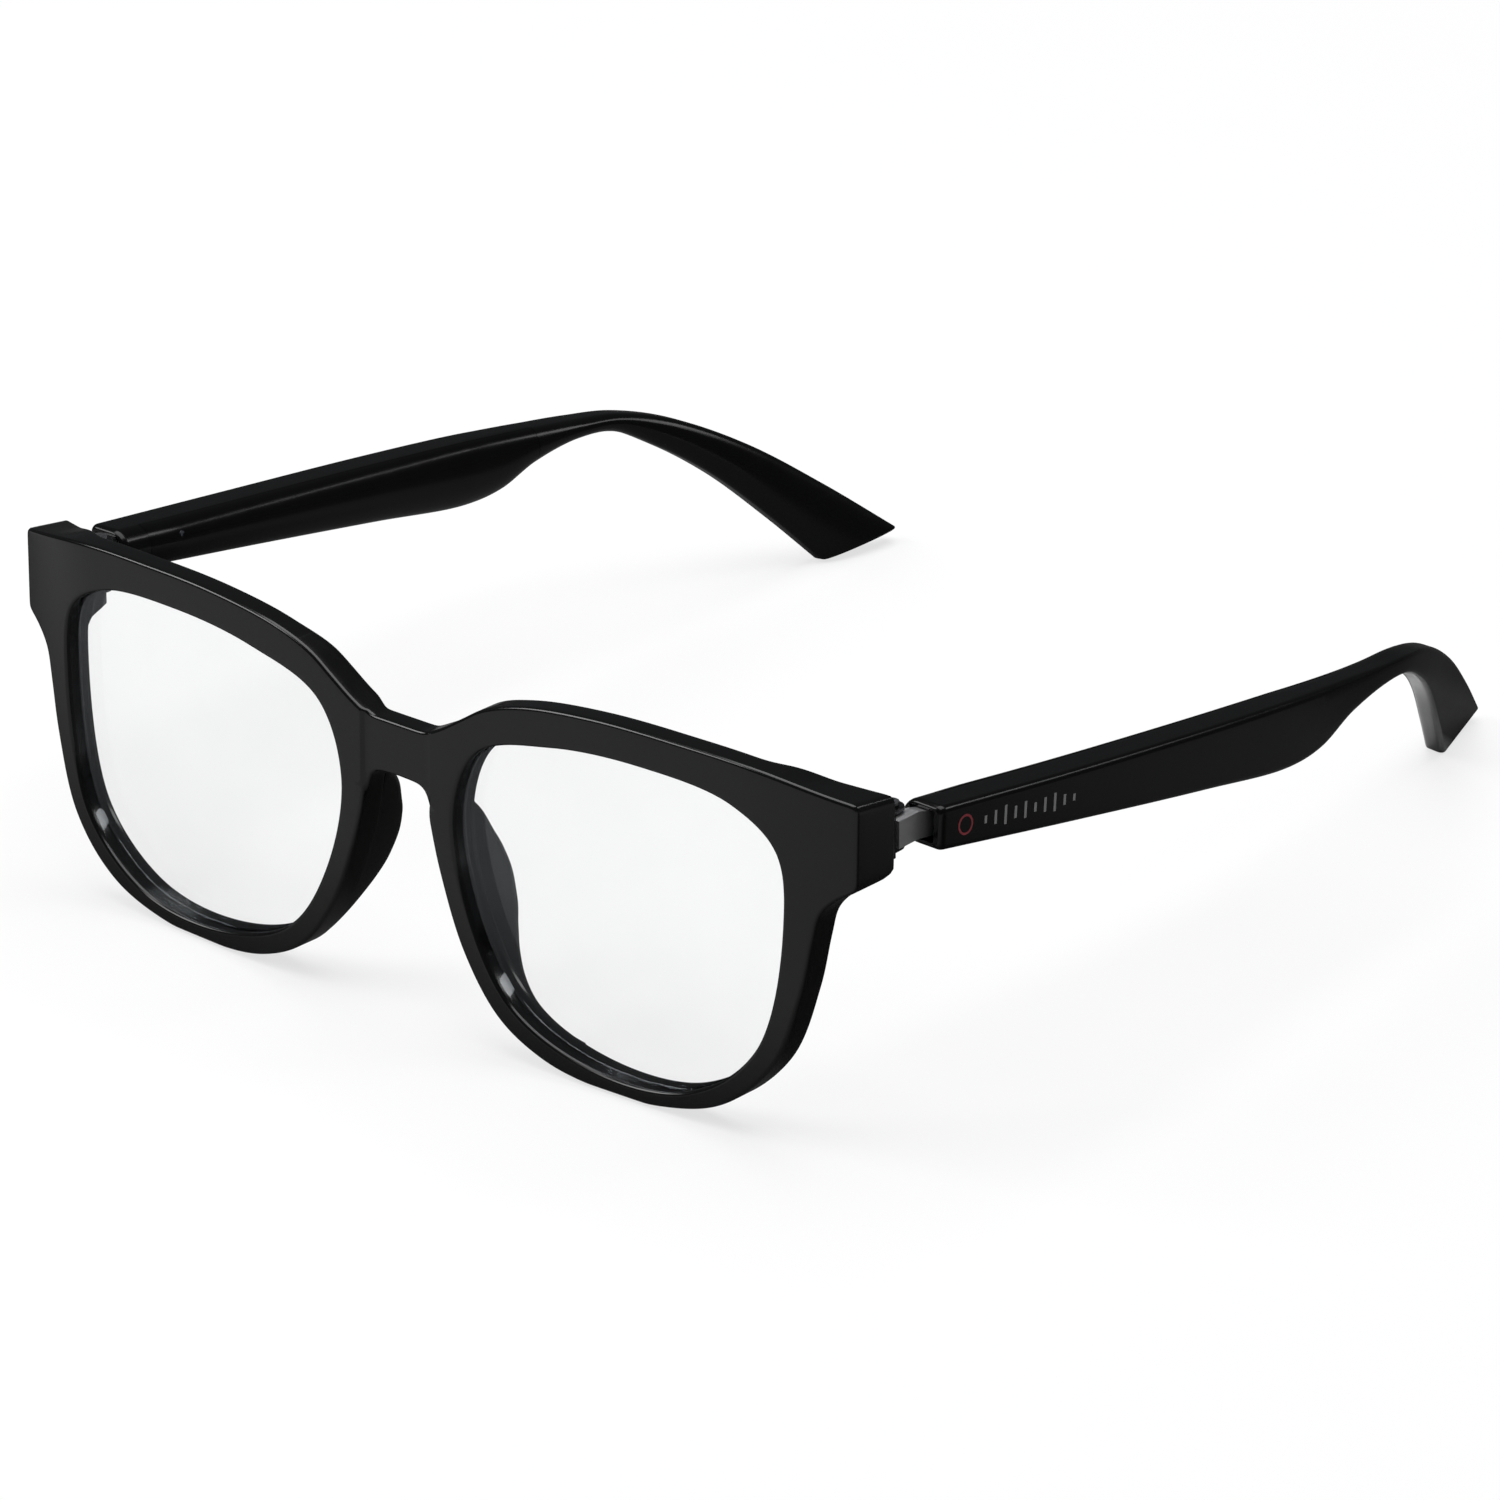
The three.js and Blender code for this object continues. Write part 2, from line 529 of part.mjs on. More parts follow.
// ---------------------------------------------------------------- one side
// Everything outboard of the front, drawn for the wearer's left. The right side is its mirror image.
function buildSide(name) {
  const side = new THREE.Group();
  const add = (part, geometry, material) => addMesh(side, `${part}_${name}`, geometry, material);
  const steel = () => finish(0xb4b6b8, 0.3, 1);
  const gold = () => finish(0xd8b25a, 0.25, 1);
  add("hinge_bracket", bracket(), finish(0x2a2b2d, 0.35, 0.8));
  add("bracket_screw_lower", bracketScrew(SCREWS.heights[0]), steel());
  add("bracket_screw_upper", bracketScrew(SCREWS.heights[1]), steel());
  add("hinge_pin", hingePin(), steel());
  add("hinge_link", hingeLink(), finish(0xc4c6c9, 0.28, 1));
  add("temple_shell", toGeometry(templeShell()), finish(0x0f0f11, 0.2));
  add("temple_cover", toGeometry(innerCover()), finish(0x131315, 0.22));
  const cell = blockAlong(63.5, 86, [1.75, 3.9], [floorOf(1.6), ceilingOf(-1.6)], 4);
  const film = blockAlong(64, 85, [1.3, 1.5], [floorOf(1.9), ceilingOf(-1.9)], 4);
  add("battery", cell, finish(0x6f7a86, 0.45));
  add("touch_sensor", film, finish(0xb87333, 0.5));
  add("circuit_board", circuitBoard(), finish(0x1f5c3a, 0.5));
  add("speaker", speaker(), finish(0x3a3b3e, 0.4, 0.6));
  add("speaker_grille", grille(), finish(0x222326, 0.5, 0.7));
  add("microphone", blockAlong(44.6, 47.6, [2.3, 3.9], [floorOf(1.3), floorOf(2.2)], 1), gold());
  add("status_light", barAcross(LIGHT_AT, () => [3.2, 1.2], (f) => [f.thickness - 0.3, 1.2], 0.5, 16),
    finish(0x2b2f36, 0.1));
  CONTACTS_AT.forEach((y, i) => {
    const level = (rise) => (frame) => [3.0, rise - frame.height / 2];
    const pad = barAcross(y, level(0.1), level(1.8), 0.8);
    add(`charging_contact_${i + 1}`, pad, gold());
  });
  add("button", button(), finish(0x1a1a1c, 0.35));
  add("button_switch", blockAlong(34.6, 38.6, [1.6, 3.7], [-0.7, 1.5], 1), finish(0x8c8f93, 0.4, 0.5));
  add("flex_spring", flexSpring(), steel());
  add("core_wire", blockAlong(98, 150, [coreAt(-0.28), coreAt(0.28)], [-0.28, 0.28], 18), steel());
  return side;
}

const left = buildSide("left");
const right = buildSide("right");
right.scale.x = -1;
model.add(left, right);

// The frame of the part: origin under the middle of the glasses, on the plane they stand on.
model.updateMatrixWorld(true);
const bounds = new THREE.Box3().setFromObject(model, true);
model.position.y = -(bounds.min.y + bounds.max.y) / 2;
model.position.z = -bounds.min.z;

const group = new THREE.Group();
group.add(model);
export default group;
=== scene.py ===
"""Smart glasses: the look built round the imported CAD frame.
"""

import json
import math

import bmesh
import bpy
import numpy as np
from mathutils import Matrix, Vector
from mathutils.geometry import delaunay_2d_cdt


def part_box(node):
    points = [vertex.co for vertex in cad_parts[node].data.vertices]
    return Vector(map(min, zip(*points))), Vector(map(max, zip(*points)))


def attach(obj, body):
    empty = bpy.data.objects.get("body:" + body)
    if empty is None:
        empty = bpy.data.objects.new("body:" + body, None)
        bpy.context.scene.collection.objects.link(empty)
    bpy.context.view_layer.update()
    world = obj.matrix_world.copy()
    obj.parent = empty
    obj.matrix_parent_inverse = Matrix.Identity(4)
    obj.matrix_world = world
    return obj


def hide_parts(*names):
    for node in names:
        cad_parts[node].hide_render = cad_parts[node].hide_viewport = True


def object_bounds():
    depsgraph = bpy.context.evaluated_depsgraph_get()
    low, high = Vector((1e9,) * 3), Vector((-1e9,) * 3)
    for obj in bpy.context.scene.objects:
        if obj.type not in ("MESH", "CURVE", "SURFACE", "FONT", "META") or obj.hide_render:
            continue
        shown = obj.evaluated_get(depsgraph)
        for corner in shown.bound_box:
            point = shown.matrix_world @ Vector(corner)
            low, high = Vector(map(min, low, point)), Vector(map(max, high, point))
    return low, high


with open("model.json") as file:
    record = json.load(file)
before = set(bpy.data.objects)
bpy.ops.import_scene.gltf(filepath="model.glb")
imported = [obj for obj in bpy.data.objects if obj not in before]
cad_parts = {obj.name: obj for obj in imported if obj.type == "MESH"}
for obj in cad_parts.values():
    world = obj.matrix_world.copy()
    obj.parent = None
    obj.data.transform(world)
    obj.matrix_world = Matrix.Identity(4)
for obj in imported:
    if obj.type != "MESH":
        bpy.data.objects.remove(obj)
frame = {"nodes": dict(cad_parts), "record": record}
CAD_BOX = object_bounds()
NODES = frame["nodes"]

# ---------------------------------------------------------------- dimensions, mm
FRONT_HALF_WIDTH = 69.5
FRONT_THICKNESS = 4.4
FRONT_LEAN = math.radians(1.6)
FACE_CURVE = 0.00065  # depth of the face for each square millimetre of x
SWEEP = 0.009  # the same for the end pieces, counted from SWEEP_FROM
SWEEP_FROM = 54.0
EDGE_ROUND = 0.5  # fillet round the front
CORNER_ROUND = 0.55  # smoothing of the end pieces' corners
LENS_DEPTHS = (1.2, 3.2)
LENS_BITE = 0.6  # how far the lens reaches into its groove
LENS_ROUND = 0.25
LENS_DOME = 0.6
LENS_CENTRE = (35, 23.4)
LENS_REACH = (27, 22)  # half width and half height of the dome
GROOVE_DEPTHS = (0.9, 3.5)
GROOVE_BITE = 0.9
BRIDGE_HALF_WIDTH = 5.6
BRIDGE_SET_BACK = 0.5
BRIDGE_THINNING = 0.7  # how much thinner the bridge is than the rims
BRIDGE_FADE = (4.2, 7.0)  # x over which that ends
BROW_THINNING = 0.95  # how much thinner the rim is along the top of the brow
BROW_FADE = (9, 20)  # x and heights over which that starts
BROW_HEIGHTS = (42.5, 48.0)
LUG_BACK = 12.3  # depth of the end piece's back at the hinge, and above it
LUG_TOP_BACK = 12.75
LUG_SLANT = 0.54  # slope of the end piece's back above the hinge
LUG_UNDER = (34.9, 36.3)  # heights over which the end piece starts
LUG_SOFTNESS = 3.0
LUG_FALL = 0.13  # how much the top of the end piece falls towards the back
HINGE_BLOCK_SIDE = (60.4, 62.1)  # x and heights over which the block that holds the hinge ends
HINGE_BLOCK_TOP = (43.7, 45.7)
PIN_Y = 16.6
PIN_BOTTOM = 36.7

WALL = 1.1  # of the temple shell
SEAM = 0.64  # share of the temple's thickness where the cover meets the shell
SEAM_GAP = 0.06
CROWN = 0.6  # share of the thickness where the inner face starts to curve
COVER_SPAN = (24.5, 104.0)
COVER_END_GAP = 0.08
CAVITY_SPAN = (27.5, 98.0)
END_ROUND = 0.6  # fillet round the temple's two ends
HINGE_RELIEF = 0.4  # how much thinner the temple is at its front, to fold past the bracket screws

# cuts in the temple: places along y, w into the temple from its outer face, v up from its middle
SOCKET = {"span": (16, 29), "w": (1.2, 5.15), "v": (-2.05, 2.05)}
BUTTON_AT = 36.5
BUTTON_SLOT_HALF = 3.5
BUTTON_SLOT_W = (1.2, 3.8)
GRILLE_SPAN = (88, 96)
GRILLE_W = (1.4, 3.7)
MICROPHONE_AT = 46
MICROPHONE_W = 3.1
MICROPHONE_RADIUS = 0.35
CONTACTS_AT = (51.0, 55.0)
CONTACT_W = 3.0
CONTACT_RADIUS = 1.05
LIGHT_AT = 30.5
LIGHT_V = 1.2
LIGHT_RADIUS = 0.32

# marks printed on the outer face
INK_W = (-0.02, 0.06)
RING_AT = 24.3
RING_RADII = (1.35, 1.05)
BARS_FROM = 28.0
BAR_PITCH = 1.85
BAR_HALF_WIDTH = 0.22
BAR_REACHES = (0.5, 0.9, 1.25, 0.8, 1.1, 0.6, 0.95, 1.2, 0.7, 0.45)

# outlines of the wearer's left half, (x, height)
OPENING = [
    (60.2, 29.5), (58.9, 39.0), (52.5, 43.3), (39, 44.6), (25, 43.4), (13.4, 39.6),
    (9.5, 30.5), (12.0, 17.5), (19.0, 6.9), (32, 2.3), (46.5, 3.6), (56.6, 12.0),
]
BROW = [
    (4.4, 39.8), (7.6, 41.4), (10.9, 43.5), (14.6, 45.8), (21, 47.8), (32, 49.1), (44, 49.3),
    (57, 48.8), (69.5, 46.7),
]
UNDER = [
    (69.5, 35.6), (67.0, 34.1), (65.0, 31.8), (64.1, 28.0), (62.7, 20.6), (59.2, 10.6), (51.7, 3.3),
    (42, 0.3), (32, 0.0), (24, 1.2), (16.8, 4.8), (11.2, 12.0), (7.2, 22.0), (5.0, 30.6),
]
BRIDGE_UNDER = [(5.0, 30.6), (4.1, 32.2), (0, 32.7)]
# how far a nose pad reaches back, from the bridge (1) down the last points of UNDER
PAD_REACH = [
    (1.0, 1.0), (0.97, 2.3), (0.92, 3.9), (0.86, 5.0), (0.80, 6.0), (0.74, 6.5), (0.68, 6.1),
    (0.61, 4.7), (0.54, 3.2), (0.46, 2.0), (0.36, 1.2), (0.24, 0.7), (0.13, 0.3),
]

# top edge (y, z), bottom edge (y, z), x of the outer face at the top and at the bottom, thickness
STATIONS = np.array([
    (20.0, 42.3, 19.6, 36.6, 71.6, 71.6, 7.0), (45.0, 38.8, 44.5, 31.9, 72.6, 72.6, 6.9),
    (72.0, 35.2, 71.5, 26.8, 73.2, 73.2, 6.8), (90.0, 32.8, 89.5, 23.5, 73.0, 73.0, 6.4),
    (97.0, 31.8, 97.0, 23.6, 72.6, 72.6, 5.9), (104, 30.8, 104, 25.6, 72.0, 72.0, 5.2),
    (113, 29.4, 112, 26.5, 71.0, 71.0, 4.5), (121, 28.0, 119.5, 25.6, 69.6, 69.6, 4.1),
    (129.5, 25.2, 126.5, 21.8, 66.8, 67.2, 4.0), (141.0, 18.6, 134.5, 15.6, 62.2, 63.4, 4.0),
    (152.0, 10.2, 142.5, 7.4, 57.4, 59.2, 4.0), (162.8, 1.2, 149.6, -0.55, 52.3, 55.4, 3.8),
])

MM = 0.001
PIN_LOW, PIN_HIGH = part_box("hinge_pin_left")
SHIFT = np.array([0.0, (PIN_LOW.y + PIN_HIGH.y) / 2 - PIN_Y * MM, PIN_LOW.z - PIN_BOTTOM * MM])


def metres(points):
    return np.asarray(points, float) * MM + SHIFT


# ---------------------------------------------------------------- camera
CAMERA_TURN = math.radians(40.21)
CAMERA_RISE = math.radians(24.09)
CAMERA_ROLL = math.radians(-0.53)
CAMERA_TARGET = metres((7.8, 60.0, 18.1))
CAMERA_DISTANCE = 0.9322
CAMERA_LENS = 172.1


def add_camera():
    turn, rise = CAMERA_TURN, CAMERA_RISE
    back = Vector((math.sin(turn) * math.cos(rise), -math.cos(turn) * math.cos(rise), math.sin(rise)))
    level = (-back).cross(Vector((0, 0, 1))).normalized()
    above = level.cross(-back)
    across = level * math.cos(CAMERA_ROLL) + above * math.sin(CAMERA_ROLL)
    up = above * math.cos(CAMERA_ROLL) - level * math.sin(CAMERA_ROLL)
    data = bpy.data.cameras.new("camera")
    data.lens, data.sensor_width = CAMERA_LENS, 36
    data.clip_start, data.clip_end = 0.05, 20
    camera = bpy.data.objects.new("camera", data)
    bpy.context.scene.collection.objects.link(camera)
    matrix = Matrix((across, up, back)).transposed().to_4x4()
    matrix.translation = Vector(CAMERA_TARGET) + back * CAMERA_DISTANCE
    camera.matrix_world = matrix
    bpy.context.scene.camera = camera


# ---------------------------------------------------------------- curves
def curve_at(points, u, closed=False):
    """Centripetal Catmull-Rom curve through the points, at each u from 0 to 1."""
    p = np.asarray(points, float)
    count = len(p)
    t = np.atleast_1d(np.asarray(u, float)) * (count if closed else count - 1)
    i = np.floor(t).astype(int)
    if closed:
        near = [p[(i + k) % count] for k in (-1, 0, 1, 2)]
    else:
        i = np.clip(i, 0, count - 2)
        longer = np.vstack([2 * p[0] - p[1], p, 2 * p[-1] - p[-2]])
        near = [longer[i + k] for k in range(4)]
    f = (t - i)[:, None]
    squares = [np.sum((b - a) ** 2, axis=1)[:, None] for a, b in zip(near, near[1:])]
    gap = [np.maximum(square, 1e-12) ** 0.25 for square in squares]
    a, b, c, d = near
    start = ((b - a) / gap[0] - (c - a) / (gap[0] + gap[1]) + (c - b) / gap[1]) * gap[1]
    end = ((c - b) / gap[1] - (d - b) / (gap[1] + gap[2]) + (d - c) / gap[2]) * gap[1]
    return b + f * start + f**2 * (3 * (c - b) - 2 * start - end) + f**3 * (2 * (b - c) + start + end)


def even(line, spacing, closed=False):
    """The same line with its points evenly spaced."""
    path = np.vstack([line, line[:1]]) if closed else np.asarray(line)
    run = np.concatenate([[0], np.cumsum(np.linalg.norm(np.diff(path, axis=0), axis=1))])
    count = max(3, round(run[-1] / spacing))
    at = np.linspace(0, run[-1], count + 1)
    at = at[:-1] if closed else at
    return np.column_stack([np.interp(at, run, path[:, k]) for k in range(path.shape[1])])


def softened(loop, spacing, sigma):
    """A closed evenly spaced loop with its corners rounded."""
    reach = int(3 * sigma / spacing) + 1
    weight = np.exp(-0.5 * (np.arange(-reach, reach + 1) * spacing / sigma) ** 2)
    weight /= weight.sum()
    wrapped = np.vstack([loop[-reach:], loop, loop[:reach]])
    return np.column_stack([np.convolve(wrapped[:, k], weight, "valid") for k in range(2)])


def outward(loop):
    """Outward normals of a counter-clockwise loop."""
    along = np.roll(loop, -1, axis=0) - np.roll(loop, 1, axis=0)
    along /= np.linalg.norm(along, axis=1)[:, None]
    return np.column_stack([along[:, 1], -along[:, 0]])


def smooth(value, low, high):
    t = np.clip((value - low) / (high - low), 0, 1)
    return t * t * (3 - 2 * t)


def mirrored(loop):
    return np.column_stack([-loop[:, 0], loop[:, 1]])[::-1]


def inside(points, loop):
    """Which points lie inside the closed loop."""
    x, y = points[:, 0][:, None], points[:, 1][:, None]
    x0, y0 = loop[:, 0][None], loop[:, 1][None]
    x1, y1 = np.roll(loop[:, 0], -1)[None], np.roll(loop[:, 1], -1)[None]
    crosses = (y0 > y) != (y1 > y)
    at = x0 + (y - y0) * (x1 - x0) / np.where(y1 == y0, 1e-12, y1 - y0)
    return np.sum(crosses & (x < at), axis=1) % 2 == 1


# ---------------------------------------------------------------- meshes
CREASE_FROM = math.radians(38)
BEVEL_FROM = math.radians(35)


class Skin:
    """Points and faces of one closed mesh, in mm."""

    def __init__(self):
        self.points = []
        self.faces = []

    def row(self, points):
        start = len(self.points)
        self.points.extend([tuple(p) for p in points])
        return list(range(start, len(self.points)))

    def band(self, a, b):
        count = len(a)
        self.faces.extend((a[i], a[(i + 1) % count], b[(i + 1) % count], b[i]) for i in range(count))

    def bands(self, rows):
        for a, b in zip(rows, rows[1:]):
            self.band(a, b)

    def tube(self, rows):
        """Bands from row to row, with the first and the last row closed."""
        self.bands(rows)
        self.faces.extend((tuple(rows[0]), tuple(rows[-1])))

    def mesh(self, name, place=metres):
        data = bpy.data.meshes.new(name)
        data.from_pydata([tuple(p) for p in place(np.array(self.points))], [], self.faces)
        tidy_mesh(data)
        return data


def tidy_mesh(data):
    """Welds the mesh and turns its faces outwards."""
    bm = bmesh.new()
    bm.from_mesh(data)
    bmesh.ops.remove_doubles(bm, verts=bm.verts, dist=1e-7)
    bmesh.ops.recalc_face_normals(bm, faces=bm.faces)
    if bm.calc_volume(signed=True) < 0:
        bmesh.ops.reverse_faces(bm, faces=bm.faces)
    bm.to_mesh(data)
    bm.free()


def shade(piece, bevel=0.0):
    """Smooth shading with crisp creases, and where asked a small round on the edges instead."""
    data = piece.data
    data.shade_smooth()
    if bevel:
        rounding = piece.modifiers.new("edge_round", "BEVEL")
        rounding.width = bevel * MM
        rounding.segments = 3
        rounding.limit_method = "ANGLE"
        rounding.angle_limit = BEVEL_FROM
        rounding.use_clamp_overlap = True
        rounding.harden_normals = False
    else:
        data.set_sharp_from_angle(angle=CREASE_FROM)
    normals = piece.modifiers.new("even_normals", "WEIGHTED_NORMAL")
    normals.weight = 80
    normals.keep_sharp = True


def add_piece(name, data, body, stands_for, material):
    piece = bpy.data.objects.new(name, data)
    bpy.context.scene.collection.objects.link(piece)
    data.materials.clear()
    data.materials.append(material)
    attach(piece, body)
    if stands_for:
        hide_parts(stands_for)
    return piece


def flipped(data, name):
    """A mirror image of a mesh, for the wearer's right."""
    other = data.copy()
    other.name = name
    other.transform(Matrix.Scale(-1, 4, (1, 0, 0)))
    other.flip_normals()
    return other


def carved(data, cutter):
    """The mesh with the closed shapes of the cutter taken out of it."""
    holders = []
    for mesh in (data, cutter):
        holder = bpy.data.objects.new("carving", mesh)
        bpy.context.scene.collection.objects.link(holder)
        holders.append(holder)
    cut = holders[0].modifiers.new("cut", "BOOLEAN")
    cut.operation, cut.solver, cut.object = "DIFFERENCE", "EXACT", holders[1]
    bpy.context.view_layer.update()
    evaluated = holders[0].evaluated_get(bpy.context.evaluated_depsgraph_get())
    result = bpy.data.meshes.new_from_object(evaluated)
    for holder in holders:
        bpy.data.objects.remove(holder)
    result.name = data.name
    return result


# ---------------------------------------------------------------- front
EDGE_SPACING = 0.5  # between the points of the outlines
PAD_TABLE = curve_at(PAD_REACH, np.linspace(0, 1, 200))
OPENING_LEFT = even(curve_at(OPENING, np.linspace(0, 1, 1200, endpoint=False), True), EDGE_SPACING, True)


def front_outline():
    spacing, lowest = 0.25, 0.06
    left = np.vstack([
        curve_at(BRIDGE_UNDER, np.linspace(1, 0, 40))[:-1],
        curve_at(UNDER, np.linspace(1, 0, 700)),
        curve_at(BROW, np.linspace(1, 0, 400)),
        [(0, BROW[0][1])],
    ])
    loop = even(np.vstack([left, mirrored(left)[1:-1]]), spacing, True)
    loop[:, 1] = np.maximum(loop[:, 1], lowest)
    return even(softened(loop, spacing, CORNER_ROUND), EDGE_SPACING, True)


def face_depth(x):
    return FACE_CURVE * x**2 + SWEEP * np.maximum(0, np.abs(x) - SWEEP_FROM) ** 2


def front_face(x, h):
    """Depth of the front face, the same at every height: the bridge is set back a little."""
    bridge = 1 - smooth(np.abs(x), BRIDGE_HALF_WIDTH - 0.2, BRIDGE_HALF_WIDTH + 0.15)
    return BRIDGE_SET_BACK * bridge


def back_face(x, h):
    """Depth of the back: the rim, growing to the end piece, with the block that holds the hinge."""
    side = np.abs(x)
    above = smooth(h, *LUG_UNDER)
    flat = LUG_BACK - face_depth(x)
    slanted = LUG_TOP_BACK - face_depth(x) - LUG_SLANT * (FRONT_HALF_WIDTH - side)
    brow = BROW_THINNING * smooth(h, *BROW_HEIGHTS) * smooth(side, *BROW_FADE)
    bridge = BRIDGE_THINNING * (1 - smooth(side, *BRIDGE_FADE))
    rim = FRONT_THICKNESS - brow - bridge
    swell = np.log1p(np.exp(LUG_SOFTNESS * np.clip(slanted - rim, -8, 8))) / LUG_SOFTNESS
    ramp = rim + swell * above
    hinge_block = smooth(side, *HINGE_BLOCK_SIDE) * (1 - smooth(h, *HINGE_BLOCK_TOP)) * above
    return ramp + np.maximum(0, flat - ramp) * hinge_block


def from_front(points):
    """Takes points (x, depth, height) of the flat front to metres, curved to the face and leant back."""
    x, depth, h = np.asarray(points, float).T
    lug_top = smooth(h, 39.0, 46.0) * smooth(np.abs(x), 58.0, 64.0)
    h = h - LUG_FALL * np.maximum(0, depth - 0.6) * lug_top
    depth = depth + face_depth(x)
    lean_c, lean_s = math.cos(FRONT_LEAN), math.sin(FRONT_LEAN)
    return metres(np.column_stack([x, depth * lean_c + h * lean_s, h * lean_c - depth * lean_s]))


def rounded_profile(radius, steps=6):
    """(inset, depth) round a quarter, from the face to the wall."""
    angles = np.linspace(0, math.pi / 2, steps + 1)
    return [(radius * (1 - math.sin(a)), radius * (1 - math.cos(a))) for a in angles]


def edge_rows(skin, loop, side, profile, front, back):
    """Rows of points round a loop.

    The profile holds (inset, share of the way from front to back, depth from there). side is 1 for a
    hole and -1 for the outline.
    """
    normal = outward(loop)
    rows = []
    for inset, share, depth in profile:
        flat = loop + side * inset * normal
        x, h = flat.T
        level = front(x, h) * (1 - share) + back(x, h) * share + depth
        rows.append(skin.row(np.column_stack([x, level, h])))
    skin.bands(rows)
    return rows[0], rows[-1]


def field_of_points(loops, coarse, fine, is_fine):
    """Points spread over the area between the first loop and the others, closer where is_fine says."""
    low, high = loops[0].min(axis=0), loops[0].max(axis=0)
    spread = []
    for spacing, wanted in ((coarse, False), (fine, True)):
        xs = np.arange(0, high[0] + spacing, spacing)
        xs = np.concatenate([-xs[:0:-1], xs])
        grid = np.array([(x, y) for x in xs for y in np.arange(low[1], high[1], spacing)])
        grid = grid[is_fine(*grid.T) == wanted]
        keep = inside(grid, loops[0])
        for hole in loops[1:]:
            keep &= ~inside(grid, hole)
        grid = grid[keep]
        edge = np.vstack(loops)
        near = np.full(len(grid), np.inf)
        for start in range(0, len(edge), 200):
            part = edge[start:start + 200]
            distances = np.linalg.norm(grid[:, None] - part[None], axis=2)
            near = np.minimum(near, np.min(distances, axis=1))
        spread.append(grid[near > 0.45 * spacing])
    return np.vstack(spread)


def fill(skin, rows, points, depth):
    """Closes a face of the front: triangles between the rows, through the points spread over it."""
    loops = [np.array([skin.points[i] for i in row])[:, [0, 2]] for row in rows]
    inner = skin.row(np.column_stack([points[:, 0], depth(*points.T), points[:, 1]]))
    flat = np.vstack([*loops, points])
    names = [i for row in rows for i in row] + inner
    edges, start = [], 0
    for row in rows:
        edges.extend((start + i, start + (i + 1) % len(row)) for i in range(len(row)))
        start += len(row)
    made = delaunay_2d_cdt([Vector(p) for p in flat], edges, [], 0, 1e-6)
    found, faces, origins = made[0], made[2], made[3]
    found = np.array([tuple(p) for p in found])
    middles = np.array([found[list(face)].mean(axis=0) for face in faces])
    keep = inside(middles, loops[0])
    for hole in loops[1:]:
        keep &= ~inside(middles, hole)
    for face, kept in zip(faces, keep):
        if kept:
            skin.faces.append(tuple(names[origins[i][0]] for i in face))


def front_mesh():
    skin = Skin()
    fillet = rounded_profile(EDGE_ROUND)
    ahead = [(inset, 0, depth) for inset, depth in fillet]
    behind = [(inset, 1, -depth) for inset, depth in reversed(fillet)]
    wall = [(0, share, EDGE_ROUND * (1 - 2 * share)) for share in (0.25, 0.5, 0.75)]
    groove = [
        (0, 0, GROOVE_DEPTHS[0]), (GROOVE_BITE, 0, GROOVE_DEPTHS[0]),
        (GROOVE_BITE, 0, GROOVE_DEPTHS[1]), (0, 0, GROOVE_DEPTHS[1]),
    ]
    outline = front_outline()
    edges = [edge_rows(skin, outline, -1, ahead + wall + behind, front_face, back_face)]
    for hole in (OPENING_LEFT, mirrored(OPENING_LEFT)):
        edges.append(edge_rows(skin, hole, 1, ahead + groove + behind, front_face, back_face))
    fronts, backs = zip(*edges)
    coarse, fine = 1.4, 0.42
    for rows, depth, is_fine in (
        (fronts, front_face, lambda x, h: (np.abs(x) > 4.9) & (np.abs(x) < 6.3)),
        (backs, back_face, lambda x, h: (np.abs(x) > 57) & (h > 34)),
    ):
        loops = [np.array([skin.points[i] for i in row])[:, [0, 2]] for row in rows]
        fill(skin, rows, field_of_points(loops, coarse, fine, is_fine), depth)
    return skin.mesh("front_frame_visual", from_front)


def lens_mesh():
    """The left eye's lens, with both faces slightly domed."""
    skin = Skin()
    loop = OPENING_LEFT + LENS_BITE * outward(OPENING_LEFT)

    def dome(x, h):
        across, up = (x - LENS_CENTRE[0]) / LENS_REACH[0], (h - LENS_CENTRE[1]) / LENS_REACH[1]
        return -LENS_DOME * np.maximum(0, 1 - across**2 - up**2) ** 2

    faces = [lambda x, h, base=base: base + dome(x, h) for base in LENS_DEPTHS]
    fillet = rounded_profile(LENS_ROUND, 3)
    profile = [(inset, 0, depth) for inset, depth in fillet]
    profile += [(inset, 1, -depth) for inset, depth in reversed(fillet)]
    ends = edge_rows(skin, loop, -1, profile, *faces)
    spacing = 1.8
    nowhere = lambda x, h: np.zeros(len(x), bool)
    for row, depth in zip(ends, faces):
        flat = np.array([skin.points[i] for i in row])[:, [0, 2]]
        fill(skin, [row], field_of_points([flat], spacing, spacing, nowhere), depth)
    return skin.mesh("lens_left_visual", from_front)


